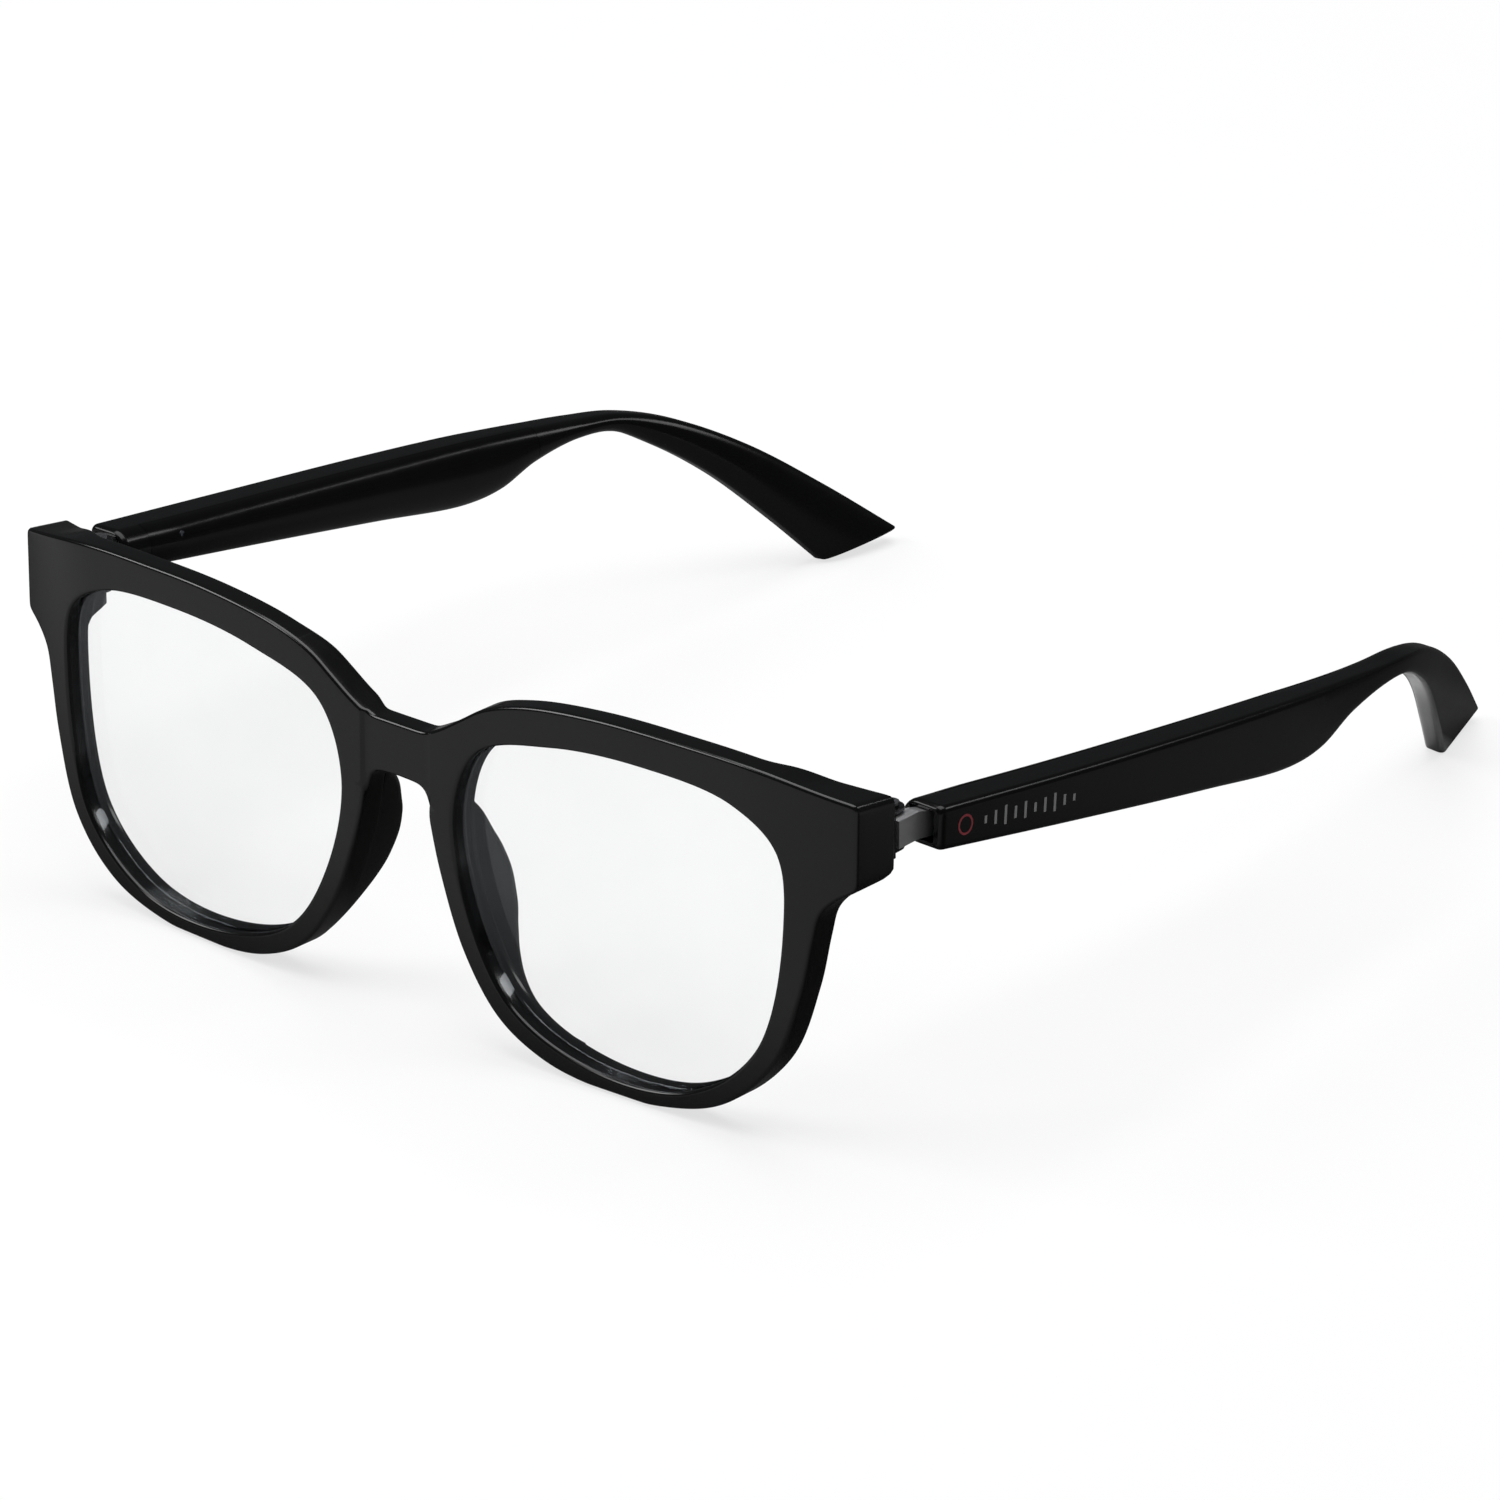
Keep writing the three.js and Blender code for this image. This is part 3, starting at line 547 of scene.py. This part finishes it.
def pad_mesh():
    """Moulded nose pad of the left eye: a fin that grows out of the back of the rim beside the nose."""
    nose = UNDER[-6:]
    step = 0.002
    root = FRONT_THICKNESS + 0.1
    skin = Skin()
    rows = []
    for u in np.linspace(PAD_REACH[0][0], PAD_REACH[-1][0], 110):
        edge = curve_at(nose, u)[0]
        along = (curve_at(nose, min(1, u + step)) - curve_at(nose, max(0, u - step)))[0]
        along /= np.linalg.norm(along)
        into = np.array([along[1], -along[0]])
        reach = float(np.interp(u, PAD_TABLE[::-1, 0], PAD_TABLE[::-1, 1]))
        # (distance into the rim, depth behind it) round the fin, from the nose side to the lens side
        profile = [
            (0.1, -0.6), (0.15, 0.0), (0.3 + 0.03 * reach, 0.5 * reach),
            (0.55 + 0.06 * reach, 0.88 * reach), (1.0 + 0.07 * reach, reach),
            (1.5 + 0.06 * reach, 0.9 * reach), (2.2, 0.5 * reach), (2.45, 0.0), (2.5, -0.6),
        ]
        smoothed = curve_at(profile, np.linspace(0, 1, 44))
        flat = edge + into * smoothed[:, :1]
        rows.append(skin.row(np.column_stack([flat[:, 0], root + smoothed[:, 1], flat[:, 1]])))
    skin.tube(rows)
    return skin.mesh("nose_pad_left_visual", from_front)


# ---------------------------------------------------------------- temple
TOP_EDGE = STATIONS[:, [4, 0, 1]]
BOTTOM_EDGE = STATIONS[:, [5, 2, 3]]
THICKNESS = np.column_stack([np.arange(len(STATIONS)), STATIONS[:, 6]])


class Section:
    """Local frame of the temple at u. place() takes (w, v): w inwards from the outer face, v up."""

    def __init__(self, u):
        top, bottom = curve_at(TOP_EDGE, u)[0], curve_at(BOTTOM_EDGE, u)[0]
        ends = [min(1, u + 0.004), max(0, u - 0.004)]
        ahead, behind = curve_at(TOP_EDGE, ends) + curve_at(BOTTOM_EDGE, ends)
        self.along = (ahead - behind) / np.linalg.norm(ahead - behind)
        self.up = (top - bottom) / np.linalg.norm(top - bottom)
        inward = np.cross(self.up, self.along)
        self.inward = inward / np.linalg.norm(inward)
        self.middle = (top + bottom) / 2
        self.half = np.linalg.norm(top - bottom) / 2
        relief = HINGE_RELIEF * (1 - smooth(u, 0.0, 0.04))
        self.thick = curve_at(THICKNESS, u)[0][1] - relief

    def place(self, flat):
        flat = np.atleast_2d(np.asarray(flat, float))
        return self.middle + flat[:, :1] * self.inward + flat[:, 1:] * self.up


SLOPE = 0.16  # of the temple at its front
U_TABLE = np.linspace(0, 1, 400)
Y_TABLE = np.array([Section(u).middle[1] for u in U_TABLE])


def u_at(y):
    return float(np.interp(y, Y_TABLE, U_TABLE))


def arc(centre, radii, start, end, count):
    angles = np.radians(np.linspace(start, end, count))
    across, up = radii[0] * np.cos(angles), radii[1] * np.sin(angles)
    return np.column_stack([centre[0] + across, centre[1] + up])


def inner_angles(section, lip):
    """33 angles up the inner face: 6 on the lip below the cavity, 21 between, 6 on the lip above it."""
    turn = math.asin(min(0.98, max(0.05, (section.half - lip) / section.half)))
    sides = np.linspace(-math.pi / 2, -turn, 6)
    return np.concatenate([sides, np.linspace(-turn, turn, 23)[1:-1], -sides[::-1]])


def shell_ring(section, state, inset=0.0):
    """Points round the shell. state is full, open (cut flat for the cover) or hollow."""
    t, h = section.thick - inset, section.half - inset
    fillet = min(0.85, 0.34 * h)
    outer_top = arc((inset + fillet, h - fillet), (fillet, fillet), 90, 180, 8)
    outer_bottom = arc((inset + fillet, fillet - h), (fillet, fillet), 180, 270, 8)
    face = np.column_stack([np.full(4, inset), np.linspace(h - fillet, fillet - h, 6)[1:-1]])
    lip = min(WALL, 0.5 * h)
    angles = inner_angles(section, lip)
    crown = CROWN * section.thick
    inner = np.column_stack([crown + (t - crown) * np.cos(angles), h * np.sin(angles)])
    cut = SEAM * section.thick - SEAM_GAP
    if state != "full":
        inner[:, 0] = np.minimum(inner[:, 0], cut)
    if state == "hollow":
        # from the lips' inner corners, points 5 and 27, the wall goes in to the cavity's floor and up it
        low, high = inner[5, 1], inner[27, 1]
        inner[5:11] = np.column_stack([np.linspace(cut, WALL, 6), np.full(6, low)])
        inner[22:28] = np.column_stack([np.linspace(WALL, cut, 6), np.full(6, high)])
        inner[10:23] = np.column_stack([np.full(13, WALL), np.linspace(low, high, 13)])
    across = np.linspace(inset + fillet, crown, 4)[1:-1]
    under = np.column_stack([across, np.full(2, -h)])
    over = np.column_stack([across[::-1], np.full(2, h)])
    return np.vstack([outer_top, face, outer_bottom, under, inner, over])


def shell_mesh():
    """The left temple's shell: solid ends, and a cavity behind the cover."""
    skin = Skin()
    changes = (COVER_SPAN[0], CAVITY_SPAN[0], CAVITY_SPAN[1], COVER_SPAN[1])
    stops = [0.0, *(u_at(y) for y in changes), 1.0]
    states = ["full", "open", "hollow", "open", "full"]
    front_step, tip_step, tip_end = 0.0038, 0.0042, 0.9993  # u over the two end fillets, and at the tip
    rings_per_u = 230
    rows = []

    def add(u, state, inset=0.0):
        section = Section(u)
        rows.append(skin.row(section.place(shell_ring(section, state, inset))))

    for inset, depth in rounded_profile(END_ROUND)[:-1]:
        add(front_step * depth / END_ROUND, "full", inset)
    for low, high, state in zip(stops, stops[1:], states):
        low, high = max(low, front_step), min(high, tip_end - tip_step)
        for u in np.linspace(low, high, max(3, round((high - low) * rings_per_u))):
            add(u, state)
    for inset, depth in reversed(rounded_profile(END_ROUND)[:-1]):
        add(tip_end - tip_step * depth / END_ROUND, "full", inset)
    skin.tube(rows)
    return skin.mesh("temple_shell_left_visual")


def cover_mesh():
    """The left temple's domed inner cover."""
    skin = Skin()
    rows = []
    low, high = u_at(COVER_SPAN[0] + COVER_END_GAP), u_at(COVER_SPAN[1] - COVER_END_GAP)
    for u in np.linspace(low, high, 130):
        section = Section(u)
        t, h = section.thick, section.half
        cut, crown = SEAM * t + SEAM_GAP, CROWN * t
        limit = math.degrees(math.acos((cut - crown) / (t - crown)))
        bulge = arc((crown, 0), (t - crown, h), -limit, limit, 34)
        back = np.column_stack([np.full(6, cut), np.linspace(bulge[-1, 1], bulge[0, 1], 8)[1:-1]])
        rows.append(skin.row(section.place(np.vstack([bulge, back]))))
    skin.tube(rows)
    return skin.mesh("temple_cover_left_visual")


def block(skin, span, w, v, steps):
    """Adds a closed block along the temple. A limit of v is a number or a function of the section."""
    rows = []
    for k, u in enumerate(np.linspace(u_at(span[0]), u_at(span[1]), steps + 1)):
        section = Section(u)
        (w0, w1), (v0, v1) = w, (limit(section) if callable(limit) else limit for limit in v)
        points = section.place([(w0, v0), (w1, v0), (w1, v1), (w0, v1)])
        if k == 0 and span[0] < Y_TABLE[0]:
            ahead = Y_TABLE[0] - span[0]
            points = points + np.array([0, -ahead, SLOPE * ahead])
        rows.append(skin.row(points))
    skin.tube(rows)


def round_bar(skin, y, radius, near, far, sides=32):
    """Adds a closed round bar across the temple at y, from one point (w, v) to another."""
    section = Section(u_at(y))
    ends = section.place([near, far])
    axis = (ends[1] - ends[0]) / np.linalg.norm(ends[1] - ends[0])
    one = section.along - np.dot(section.along, axis) * axis
    one /= np.linalg.norm(one)
    two = np.cross(axis, one)
    turns = np.linspace(0, 2 * math.pi, sides, endpoint=False)[:, None]
    ring = radius * (np.cos(turns) * one + np.sin(turns) * two)
    rows = [skin.row(end + ring) for end in ends]
    skin.tube(rows)


def below(section):
    return -section.half - 1


def shell_cutter():
    """What is cut from the shell: hinge socket, button slot, speaker opening, microphone and contacts."""
    skin = Skin()
    block(skin, **SOCKET, steps=6)
    slot = (BUTTON_AT - BUTTON_SLOT_HALF, BUTTON_AT + BUTTON_SLOT_HALF)
    block(skin, slot, BUTTON_SLOT_W, (below, -1), 2)
    block(skin, GRILLE_SPAN, GRILLE_W, (below, -2), 3)
    holes = [(MICROPHONE_AT, MICROPHONE_W, MICROPHONE_RADIUS)]
    holes += [(y, CONTACT_W, CONTACT_RADIUS) for y in CONTACTS_AT]
    for y, w, radius in holes:
        round_bar(skin, y, radius, (w, below(Section(u_at(y)))), (w, -1))
    return skin.mesh("shell_cutter")


def cover_cutter():
    """What is cut from the cover: hinge socket and the hole of the status light."""
    skin = Skin()
    block(skin, **SOCKET, steps=6)
    round_bar(skin, LIGHT_AT, LIGHT_RADIUS, (2, LIGHT_V), (9, LIGHT_V))
    return skin.mesh("cover_cutter")


def outer_row(skin, loop, w):
    """A row of points w deep in the outer face, over a loop of points (y, v)."""
    return skin.row([Section(u_at(y)).place((w, v))[0] for y, v in loop])


def ring_mark_mesh(sides=72):
    """A plain printed ring near the front of the temple."""
    turns = np.linspace(0, 2 * math.pi, sides, endpoint=False)
    outer, inner = ([(RING_AT + r * math.cos(a), r * math.sin(a)) for a in turns] for r in RING_RADII)
    over, under = INK_W
    skin = Skin()
    corners = ((outer, over), (outer, under), (inner, under), (inner, over))
    rows = [outer_row(skin, loop, w) for loop, w in corners]
    skin.bands(rows + rows[:1])
    return skin.mesh("mark_ring")


def bar_mark_mesh():
    """A row of plain printed bars behind the ring, like a sound level."""
    skin = Skin()
    for k, reach in enumerate(BAR_REACHES):
        middle = BARS_FROM + BAR_PITCH * k
        front, back = middle - BAR_HALF_WIDTH, middle + BAR_HALF_WIDTH
        corners = [(front, -reach), (back, -reach), (back, reach), (front, reach)]
        rows = [outer_row(skin, corners, w) for w in INK_W]
        skin.tube(rows)
    return skin.mesh("mark_bars")


# ---------------------------------------------------------------- materials
class Shader:
    """A Principled material, with short ways to add nodes in the piece's own coordinates."""

    def __init__(self, name, **settings):
        self.material = bpy.data.materials.new(name)
        self.material.use_nodes = True
        self.tree = self.material.node_tree
        self.surface = self.tree.nodes["Principled BSDF"]
        self.output = self.tree.nodes["Material Output"]
        self.place = self.node("ShaderNodeTexCoord").outputs["Object"]
        for key, value in settings.items():
            self.surface.inputs[key].default_value = value

    def node(self, kind, settings=None, **inputs):
        made = self.tree.nodes.new(kind)
        for key, value in (settings or {}).items():
            setattr(made, key, value)
        for key, value in inputs.items():
            self.put(made.inputs[key.replace("_", " ")], value)
        return made

    def put(self, socket, value):
        if isinstance(value, bpy.types.NodeSocket):
            self.tree.links.new(value, socket)
        else:
            socket.default_value = value

    def stretched(self, scale):
        return self.node("ShaderNodeMapping", Vector=self.place, Scale=scale).outputs["Vector"]

    def noise(self, scale, detail=3.0, roughness=0.55, where=None):
        made = self.node("ShaderNodeTexNoise", Vector=where or self.place)
        for key, value in (("Scale", scale), ("Detail", detail), ("Roughness", roughness)):
            self.put(made.inputs[key], value)
        return made.outputs["Fac"]

    def range(self, value, low, high, to_low, to_high):
        made = self.node("ShaderNodeMapRange", Value=value, From_Min=low, From_Max=high)
        self.put(made.inputs["To Min"], to_low)
        self.put(made.inputs["To Max"], to_high)
        return made.outputs["Result"]

    def mix(self, factor, first, second):
        made = self.node("ShaderNodeMix", {"data_type": "RGBA"})
        self.put(made.inputs[0], factor)
        self.put(made.inputs[6], first)
        self.put(made.inputs[7], second)
        return made.outputs[2]

    def math(self, operation, first, second):
        made = self.node("ShaderNodeMath", {"operation": operation})
        self.put(made.inputs[0], first)
        self.put(made.inputs[1], second)
        return made.outputs[0]

    def blend(self, factor, first, second):
        """Mixes two closures."""
        made = self.node("ShaderNodeMixShader")
        for socket, value in zip(made.inputs, (factor, first, second)):
            self.put(socket, value)
        return made.outputs[0]

    def bump(self, height, strength, distance, under=None):
        made = self.node("ShaderNodeBump", Height=height, Strength=strength, Distance=distance)
        if under is not None:
            self.put(made.inputs["Normal"], under)
        return made.outputs["Normal"]

    def drive(self, **sockets):
        """Sets or links the surface's sockets and gives the material back."""
        for key, value in sockets.items():
            self.put(self.surface.inputs[key.replace("_", " ")], value)
        return self.material


def grey(level):
    return (level, level, level, 1)


def moulded_black(name, level, rough, specular):
    """Polished black plastic: faint flow marks, fine handling scratches, softer where it is touched."""
    s = Shader(name, **{"IOR": 1.5, "Specular IOR Level": specular})
    flow = s.noise(70, 4)
    wear = s.range(s.noise(210, 5, 0.6), 0.3, 0.75, rough * 0.86, rough * 1.18)
    scratches = s.noise(900, 2, 0.5, s.stretched((1.0, 0.035, 1.0)))
    marks = s.math("MULTIPLY", s.range(scratches, 0.66, 0.74, 0.0, 1.0), 0.05)
    colour = s.mix(flow, grey(level * 0.8), grey(level * 1.3))
    ripple = s.bump(s.noise(320, 2), 0.05, 0.0002)
    fine = s.bump(s.noise(4200, 2), 0.05, 0.00002, ripple)
    return s.drive(Base_Color=colour, Roughness=s.math("ADD", wear, marks), Normal=fine)


def satin_black(name, level, rough, specular):
    """Fine-grained moulded plastic of the buttons."""
    s = Shader(name, **{"IOR": 1.5, "Specular IOR Level": specular})
    grains = s.node("ShaderNodeTexVoronoi", Vector=s.place, Scale=5200.0).outputs["Distance"]
    colour = s.mix(s.noise(260, 4), grey(level * 0.75), grey(level * 1.4))
    roughness = s.range(s.noise(500, 3), 0.3, 0.7, rough * 0.85, rough * 1.15)
    return s.drive(Base_Color=colour, Roughness=roughness, Normal=s.bump(grains, 0.25, 0.00003))


def metal(name, colour, rough, brush=(1.0, 0.04, 1.0), stain=0.7, metallic=1.0):
    """Brushed or plated metal with the drag lines of its finishing and a little tarnish."""
    s = Shader(name, Metallic=metallic)
    lines = s.noise(2600.0, 3, 0.6, s.stretched(brush))
    tarnish = s.range(s.noise(420, 4), 0.35, 0.75, 0.0, 1.0)
    worn = tuple(c * stain for c in colour[:3]) + (1.0,)
    brushed = s.range(lines, 0.3, 0.7, rough * 0.8, rough * 1.2)
    roughness = s.math("ADD", brushed, s.math("MULTIPLY", tarnish, 0.06))
    normal = s.bump(lines, 0.12, 0.00002)
    return s.drive(Base_Color=s.mix(tarnish, colour, worn), Roughness=roughness, Normal=normal)


def clear_lens(name):
    """Coated clear lens: it lets the view through and mirrors a little, under a faint film of smudges."""
    s = Shader(name)
    smudge = s.range(s.noise(95, 5, 0.62), 0.35, 0.8, 0.0, 1.0)
    tint = s.mix(smudge, (0.998, 0.999, 0.998, 1), (0.984, 0.987, 0.985, 1))
    clear = s.node("ShaderNodeBsdfTransparent", Color=tint)
    rough = s.range(smudge, 0.0, 1.0, 0.045, 0.09)
    mirror = s.node("ShaderNodeBsdfGlossy", Color=(0.9, 0.95, 1.0, 1), Roughness=rough)
    facing = s.node("ShaderNodeLayerWeight", Blend=0.5).outputs["Facing"]
    mirrored_share = s.math("ADD", s.math("MULTIPLY", s.math("POWER", facing, 4.0), 0.6), 0.05)
    s.tree.nodes.remove(s.surface)
    surface = s.blend(mirrored_share, clear.outputs[0], mirror.outputs[0])
    s.put(s.output.inputs["Surface"], surface)
    return s.material


def light_window(name):
    """Smoked window over the status light, dark while it is off."""
    s = Shader(name, **{"IOR": 1.5, "Coat Weight": 0.6, "Coat Roughness": 0.04})
    depth = s.node("ShaderNodeTexVoronoi", Vector=s.place, Scale=3400.0).outputs["Distance"]
    colour = s.mix(depth, (0.012, 0.014, 0.02, 1), (0.03, 0.034, 0.045, 1))
    return s.drive(Base_Color=colour, Roughness=s.range(s.noise(800), 0.3, 0.7, 0.08, 0.16))


def cell_wrap(name):
    """Shrunk foil round the battery cell, with fine creases."""
    s = Shader(name, Metallic=0.55)
    crease = s.noise(600, 5, 0.7, s.stretched((1, 0.4, 1)))
    colour = s.mix(crease, (0.36, 0.38, 0.42, 1), (0.52, 0.54, 0.57, 1))
    return s.drive(Base_Color=colour, Roughness=s.range(crease, 0.3, 0.7, 0.3, 0.48),
                   Normal=s.bump(crease, 0.3, 0.0001))


def copper_film(name):
    """Copper pattern of the touch sensor under its lacquer."""
    s = Shader(name, **{"Metallic": 0.9, "Coat Weight": 0.4, "Coat Roughness": 0.2})
    bands = s.node("ShaderNodeTexWave", {"bands_direction": "Y"}, Vector=s.place, Scale=260.0)
    gaps = s.range(bands.outputs["Fac"], 0.44, 0.56, 0.0, 1.0)
    colour = s.mix(gaps, (0.16, 0.09, 0.05, 1), (0.62, 0.31, 0.16, 1))
    return s.drive(Base_Color=colour, Roughness=s.range(s.noise(900), 0.3, 0.7, 0.3, 0.45))


def board_green(name):
    """Solder mask with its tracks just showing through."""
    s = Shader(name, **{"IOR": 1.5, "Specular IOR Level": 0.5})
    tracks = s.node("ShaderNodeTexBrick", Vector=s.stretched((1, 1, 0)), Scale=700.0, Mortar_Size=0.03)
    tracks.inputs["Color1"].default_value = (0.012, 0.11, 0.05, 1)
    tracks.inputs["Color2"].default_value = (0.016, 0.13, 0.06, 1)
    tracks.inputs["Mortar"].default_value = (0.03, 0.19, 0.08, 1)
    colour = s.mix(s.noise(300, 4), tracks.outputs["Color"], (0.01, 0.08, 0.04, 1))
    return s.drive(Base_Color=colour, Roughness=s.range(s.noise(1200), 0.3, 0.7, 0.25, 0.4),
                   Normal=s.bump(tracks.outputs["Fac"], 0.2, 0.00004))


def print_ink(name, first, second):
    """Pad-printed ink: slightly uneven cover."""
    s = Shader(name, **{"IOR": 1.5, "Specular IOR Level": 0.35})
    cover = s.noise(2400, 4, 0.65)
    return s.drive(Base_Color=s.mix(cover, first, second), Roughness=s.range(cover, 0.3, 0.7, 0.4, 0.6))


LOOKS = {
    "frame_black": moulded_black("frame_black_look", 0.0032, 0.16, 0.44),
    "pad_black": moulded_black("pad_black_look", 0.003, 0.13, 0.5),
    "lens_clear": clear_lens("lens_clear_look"),
    "dark_metal": metal("dark_metal_look", (0.06, 0.06, 0.065, 1), 0.3),
    "steel": metal("steel_look", (0.42, 0.42, 0.43, 1), 0.26),
    "link_metal": metal("link_metal_look", (0.62, 0.62, 0.63, 1), 0.36, (1.0, 0.05, 1.0), 0.85, 0.93),
    "shell_black": moulded_black("shell_black_look", 0.0022, 0.19, 0.26),
    "cover_black": moulded_black("cover_black_look", 0.0022, 0.17, 0.22),
    "cell_wrap": cell_wrap("cell_wrap_look"),
    "copper_film": copper_film("copper_film_look"),
    "board_green": board_green("board_green_look"),
    "speaker_metal": metal("speaker_metal_look", (0.22, 0.22, 0.235, 1), 0.38),
    "contact_gold": metal("contact_gold_look", (0.78, 0.56, 0.24, 1), 0.2, (1, 1, 1), 0.75),
    "light_window": light_window("light_window_look"),
    "button_black": satin_black("button_black_look", 0.009, 0.36, 0.4),
}
INK_RED = print_ink("ink_red_look", (0.16, 0.012, 0.018, 1), (0.23, 0.02, 0.03, 1))
INK_GREY = print_ink("ink_grey_look", (0.13, 0.13, 0.13, 1), (0.19, 0.19, 0.19, 1))

# ---------------------------------------------------------------- pieces
NODE_SLOT = {row["node"]: row["material_slot"] for row in frame["record"]["subparts"]}


def add_pair(part, mesh, look, bodies):
    """Adds the left piece and its mirror image, each in place of its CAD node."""
    right = flipped(mesh, f"{part}_right_visual")
    for side, data, body in zip(("left", "right"), (mesh, right), bodies):
        name = f"{part}_{side}"
        shade(add_piece(f"{name}_visual", data, body, name, LOOKS[look]))


def build_front():
    look = "frame_black"
    shade(add_piece("front_frame_visual", front_mesh(), "front", "front_frame", LOOKS[look]))
    add_pair("lens", lens_mesh(), "lens_clear", ("front", "front"))
    add_pair("nose_pad", pad_mesh(), "pad_black", ("front", "front"))


def build_temples():
    shell = carved(shell_mesh(), shell_cutter())
    cover = carved(cover_mesh(), cover_cutter())
    bodies = ("temple_left", "temple_right")
    add_pair("temple_shell", shell, "shell_black", bodies)
    add_pair("temple_cover", cover, "cover_black", bodies)
    for name, mesh, ink in (
        ("mark_ring", ring_mark_mesh(), INK_RED),
        ("mark_bars", bar_mark_mesh(), INK_GREY),
    ):
        shade(add_piece(name, mesh, "temple_left", None, ink))


# rounds on the edges of the small pieces, by the first words of the name that fit
BEVELS = {
    "hinge_link": 0.12, "hinge_bracket": 0.12, "bracket_screw": 0.06, "hinge_pin": 0.1,
    "button_switch": 0.1, "button": 0.12, "speaker_grille": 0.05, "battery": 0.15, "speaker": 0.1,
    "microphone": 0.06,
}


def finish_cad_nodes():
    """The small pieces keep their CAD shape, with a slight round on their edges and their own finish."""
    for name, node in NODES.items():
        if node.hide_render:
            continue
        node.data.materials.clear()
        node.data.materials.append(LOOKS[NODE_SLOT[name]])
        bevel = next((size for part, size in BEVELS.items() if name.startswith(part)), 0.0)
        shade(node, bevel)


# ---------------------------------------------------------------- studio, in metres and watts
FLOOR_HALF = 12
FLOOR_GAP = 0.00002
AIM = Vector((0, 0, 0.02))


def floor_material():
    """Pale paper, clear from below.

    In reflections it is dimmer, as if black flags stood round the set: dark behind the front, a
    little paler ahead of it and beside the temples, and palest in a patch under the left ear tip.
    Distances are metres on the floor.
    """
    s = Shader("floor_look", Roughness=0.9)
    s.surface.inputs["Specular IOR Level"].default_value = 0.0
    s.drive(Base_Color=s.mix(s.noise(30, 4), grey(0.86), grey(0.88)))
    glow = s.node("ShaderNodeEmission", Color=(1, 1, 1, 1), Strength=1.0)
    seen = s.blend(0.72, s.surface.outputs[0], glow.outputs[0])

    spot = s.node("ShaderNodeSeparateXYZ", Vector=s.place)
    across, depth = spot.outputs["X"], spot.outputs["Y"]
    before = s.range(depth, -0.12, -0.065, 0.4, 0.025)
    beside = s.range(depth, -0.03, 0.03, 0.0, 0.135)
    behind = s.range(depth, 0.065, 0.09, 1.0, 0.2)
    level = s.math("ADD", before, s.math("MULTIPLY", beside, behind))
    patch_width = s.math("MULTIPLY", s.range(across, 0.038, 0.044, 0, 1),
                         s.range(across, 0.058, 0.064, 0.8, 0))
    patch_depth = s.math("MULTIPLY", s.range(depth, 0.048, 0.056, 0, 1),
                         s.range(depth, 0.069, 0.074, 1, 0))
    patch = s.math("MULTIPLY", patch_width, patch_depth)
    dim = s.node("ShaderNodeBsdfDiffuse", Color=s.math("MAXIMUM", level, patch))

    in_reflection = s.node("ShaderNodeLightPath").outputs["Is Glossy Ray"]
    paper = s.blend(in_reflection, seen, dim.outputs[0])
    from_below = s.node("ShaderNodeNewGeometry").outputs["Backfacing"]
    clear = s.node("ShaderNodeBsdfTransparent")
    s.put(s.output.inputs["Surface"], s.blend(from_below, paper, clear.outputs[0]))
    return s.material


def build_floor():
    bm = bmesh.new()
    bmesh.ops.create_grid(bm, x_segments=8, y_segments=8, size=FLOOR_HALF)
    data = bpy.data.meshes.new("floor")
    bm.to_mesh(data)
    bm.free()
    data.materials.append(floor_material())
    floor = bpy.data.objects.new("floor", data)
    bpy.context.scene.collection.objects.link(floor)
    floor.location = (0, 0, CAD_BOX[0].z - FLOOR_GAP)


def add_softbox(name, place, size, power):
    data = bpy.data.lights.new(name, "AREA")
    data.shape = "RECTANGLE"
    data.size, data.size_y = size
    data.energy = power
    lamp = bpy.data.objects.new(name, data)
    bpy.context.scene.collection.objects.link(lamp)
    lamp.location = place
    lamp.rotation_mode = "QUATERNION"
    lamp.rotation_quaternion = (AIM - Vector(place)).to_track_quat("-Z", "Y")


def add_world():
    """Dim light from all round, with a pale backdrop to look at."""
    world = bpy.data.worlds.new("studio")
    world.use_nodes = True
    tree = world.node_tree
    dim = tree.nodes["Background"]
    dim.inputs["Color"].default_value = (0.9, 0.95, 1.0, 1)
    dim.inputs["Strength"].default_value = 0.055
    pale = tree.nodes.new("ShaderNodeBackground")
    pale.inputs["Color"].default_value = (0.93, 0.93, 0.93, 1)
    path = tree.nodes.new("ShaderNodeLightPath")
    mixed = tree.nodes.new("ShaderNodeMixShader")
    tree.links.new(path.outputs["Is Camera Ray"], mixed.inputs[0])
    tree.links.new(dim.outputs[0], mixed.inputs[1])
    tree.links.new(pale.outputs[0], mixed.inputs[2])
    tree.links.new(mixed.outputs[0], tree.nodes["World Output"].inputs["Surface"])
    bpy.context.scene.world = world


def build_studio():
    build_floor()
    add_softbox("overhead", (0.0, 0.1, 1.6), (1.7, 1.7), 30)
    add_softbox("front_left", (-0.9, -0.75, 0.95), (0.9, 0.5), 9)
    add_softbox("back_right", (0.75, 1.1, 0.85), (0.5, 0.25), 1.7)
    add_world()
    bpy.context.scene.view_settings.view_transform = "Standard"


add_camera()
build_front()
build_temples()
finish_cad_nodes()
build_studio()
